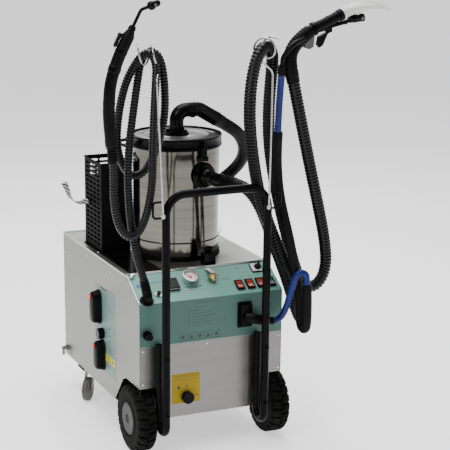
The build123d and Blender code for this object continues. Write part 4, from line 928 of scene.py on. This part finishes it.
# ---- steam gun and tool details
gun_line = centreline([(-412, -500, 1190), (-424, -503, 1300), (-418, -506, 1410), (-390, -510, 1495),
                       (-352, -514, 1570), (-338, -515.5, 1597.6)])
gun_rings = ((4, 26, 22.6), (52, 60, 22.0), (150, 158, 22.0), (262, 282, 22.8), (330, 340, 22.2))
for index, (a, b, r) in enumerate(gun_rings):
    collar(f"gun_ring_{index}", gun_line, a, b, [(0, r - 1.4), (0.08, r), (0.92, r), (1, r - 1.4)],
                   gloss)
lathe("gun_nose_ring", (-342, -515.2, 1590), (14, -1, 27),
      [(0, 12), (1, 14.5), (9, 13.2), (12, 11.4), (15, 11.2), (16, 9)], gloss, 28)
lathe("gun_tip_disc", (-261, -521.5, 1673.4), (0.938, -0.09, 0.333),
      [(0, 11.6), (8, 12.2), (11, 11.4), (13, 7), (13.4, 2)], gloss, 28)
lathe("gun_tip_jet", (-261, -530, 1672), (0.1, -1, 0.05), [(0, 5.4), (6, 5.4), (7, 4.4), (7, 1.6)],
      block_grey, 20)
tool_line = centreline([(258, -534, 1425), (248.6, -535.6, 1460), (258, -535, 1502), (290, -535, 1538),
                        (326, -535, 1562)])
tool_total = lengths_along(tool_line)[-1]
cuff = [(0, 24.2)]
for k in range(14):
    s = 0.04 + 0.9 * k / 14
    cuff += [(s, 24.3), (s + 0.008, 25.6), (s + 0.034, 25.6), (s + 0.042, 24.3)]
cuff.append((1.0, 24.3))
collar("tool_cuff_ribs", tool_line, 4, tool_total - 2, cuff, rubber, 36)
lance_dir, lance_end = Vector((137, 0, 58)).normalized(), Vector((455, -535, 1618))
lathe("tool_pipe_shoulder", lance_end - lance_dir * 122, lance_dir,
      [(-6, 22), (-4, 25.2), (6, 24.6), (10, 21.4), (14, 20.6), (16, 19)], gloss, 36)
for index, back in enumerate((98, 60, 30)):
    lathe(f"tool_pipe_ring_{index}", lance_end - lance_dir * back, lance_dir,
          [(0, 18.8), (0.8, 20.2), (5, 20.2), (5.8, 18.8)], gloss, 36)
block = ([], [])
outline = [(296, 1536), (304, 1508), (322, 1500), (338, 1508), (342, 1552), (318, 1550)]
for y in (-548.6, -521.4):
    block[0].extend([(px, y, pz) for px, pz in outline])
count = len(outline)
block[1].append(tuple(range(count)))
block[1].append(tuple(reversed(range(count, 2 * count))))
block[1].extend([(k, count + k, count + (k + 1) % count, (k + 1) % count) for k in range(count)])
bevel(place("tool_grey_block", *block, block_grey, "chassis", "grey_hub", 30), 3.0, 3)
lathe("spray_fitting", (484, -535, 1599), (57, 0, 6),
      [(0, 8), (0, 14.4), (10, 15.2), (11, 12.8), (16, 12.8), (17, 16.6), (30, 16.6), (32, 13.4), (44, 13.4),
       (46, 15.6), (56, 15.6), (60, 13), (61, 4)], gloss, 6, smooth=20)
lathe("spray_tip", (530, -550, 1602), (0.3, -1, -0.2), [(0, 6.5), (3, 6.5), (4, 5), (4, 2)], block_grey, 20)
lathe("spray_elbow_nut", (466, -535, 1588), (22, 0, 9), [(0, 8), (0, 9.6), (9, 9.6), (10, 8.4)],
      gloss, 6, smooth=20)
lathe("nozzle_screw", (604, -545.4, 1636), (0, -1, 0.1), [(0, 3.4), (3.4, 3.4), (4.2, 2.4)], ink, 12)

# ---- handle fixings and plug
for side_name, leg in (("left", -219), ("right", 181)):
    heads = ([], [])
    for z in (180, 400):
        lathe("", (leg, -541, z), (0, -1, 0), [(0, 8.5), (4, 8.5), (6.5, 6), (7, 3)], chrome, 6, parts=heads)
    place(f"handle_bolts_{side_name}", *heads, gloss_black, "chassis",
          "black_paint", 30)
plates("plug_ribs", "front", [rect(133, 484 + 12 * k, 40, 3.2, 1) for k in range(5)], plastic, 22.6,
       24.0, edge=0.5)

# ---- stage and light
floor_mat = surface("studio_floor", 0.90, 0.92, (0.8, 0.9), scale=2.0, grain=60.0, bump=0.02, depth=0.0005,
                    sockets={"Emission Color": (1, 1, 1, 1), "Emission Strength": 0.85})
floor = place("studio_floor", [(-2e5, -2e5, -0.5), (2e5, -2e5, -0.5), (2e5, 2e5, -0.5), (-2e5, 2e5, -0.5)],
              [(0, 1, 2, 3)], floor_mat, body=None)

world = bpy.data.worlds.new("studio")
bpy.context.scene.world = world
world.use_nodes = True
sky = world.node_tree
background = sky.nodes["Background"]
background.inputs["Strength"].default_value = 0.55
coord = sky.nodes.new("ShaderNodeTexCoord")
split = sky.nodes.new("ShaderNodeSeparateXYZ")
sky.links.new(coord.outputs["Generated"], split.inputs["Vector"])
height = sky.nodes.new("ShaderNodeValToRGB")
height.color_ramp.elements[0].position = 0.35
height.color_ramp.elements[0].color = (0.45, 0.445, 0.44, 1)
height.color_ramp.elements[1].position = 0.75
height.color_ramp.elements[1].color = (1.0, 1.0, 1.0, 1)
sky.links.new(split.outputs["Z"], height.inputs["Fac"])
sky.links.new(height.outputs["Color"], background.inputs["Color"])


def soft_light(name, location, target, size, power, colour=(1, 1, 1)):
    data = bpy.data.lights.new(name, "AREA")
    data.shape = "RECTANGLE"
    data.size, data.size_y = size
    data.energy = power
    data.color = colour
    lamp = bpy.data.objects.new(name, data)
    lamp.location = location
    lamp.rotation_euler = (Vector(target) - Vector(location)).to_track_quat("-Z", "Y").to_euler()
    bpy.context.scene.collection.objects.link(lamp)


soft_light("key", (-3.2, -2.2, 4.6), (0, 0, 0.7), (2.2, 2.2), 125)
soft_light("fill", (3.6, -3.0, 2.6), (0, 0, 0.8), (2.0, 2.6), 36)
soft_light("rim", (1.5, 4.2, 3.6), (0, 0, 0.9), (3.0, 2.0), 90)
soft_light("top", (0, 0.4, 4.8), (0, 0, 0), (3.2, 3.2), 230)
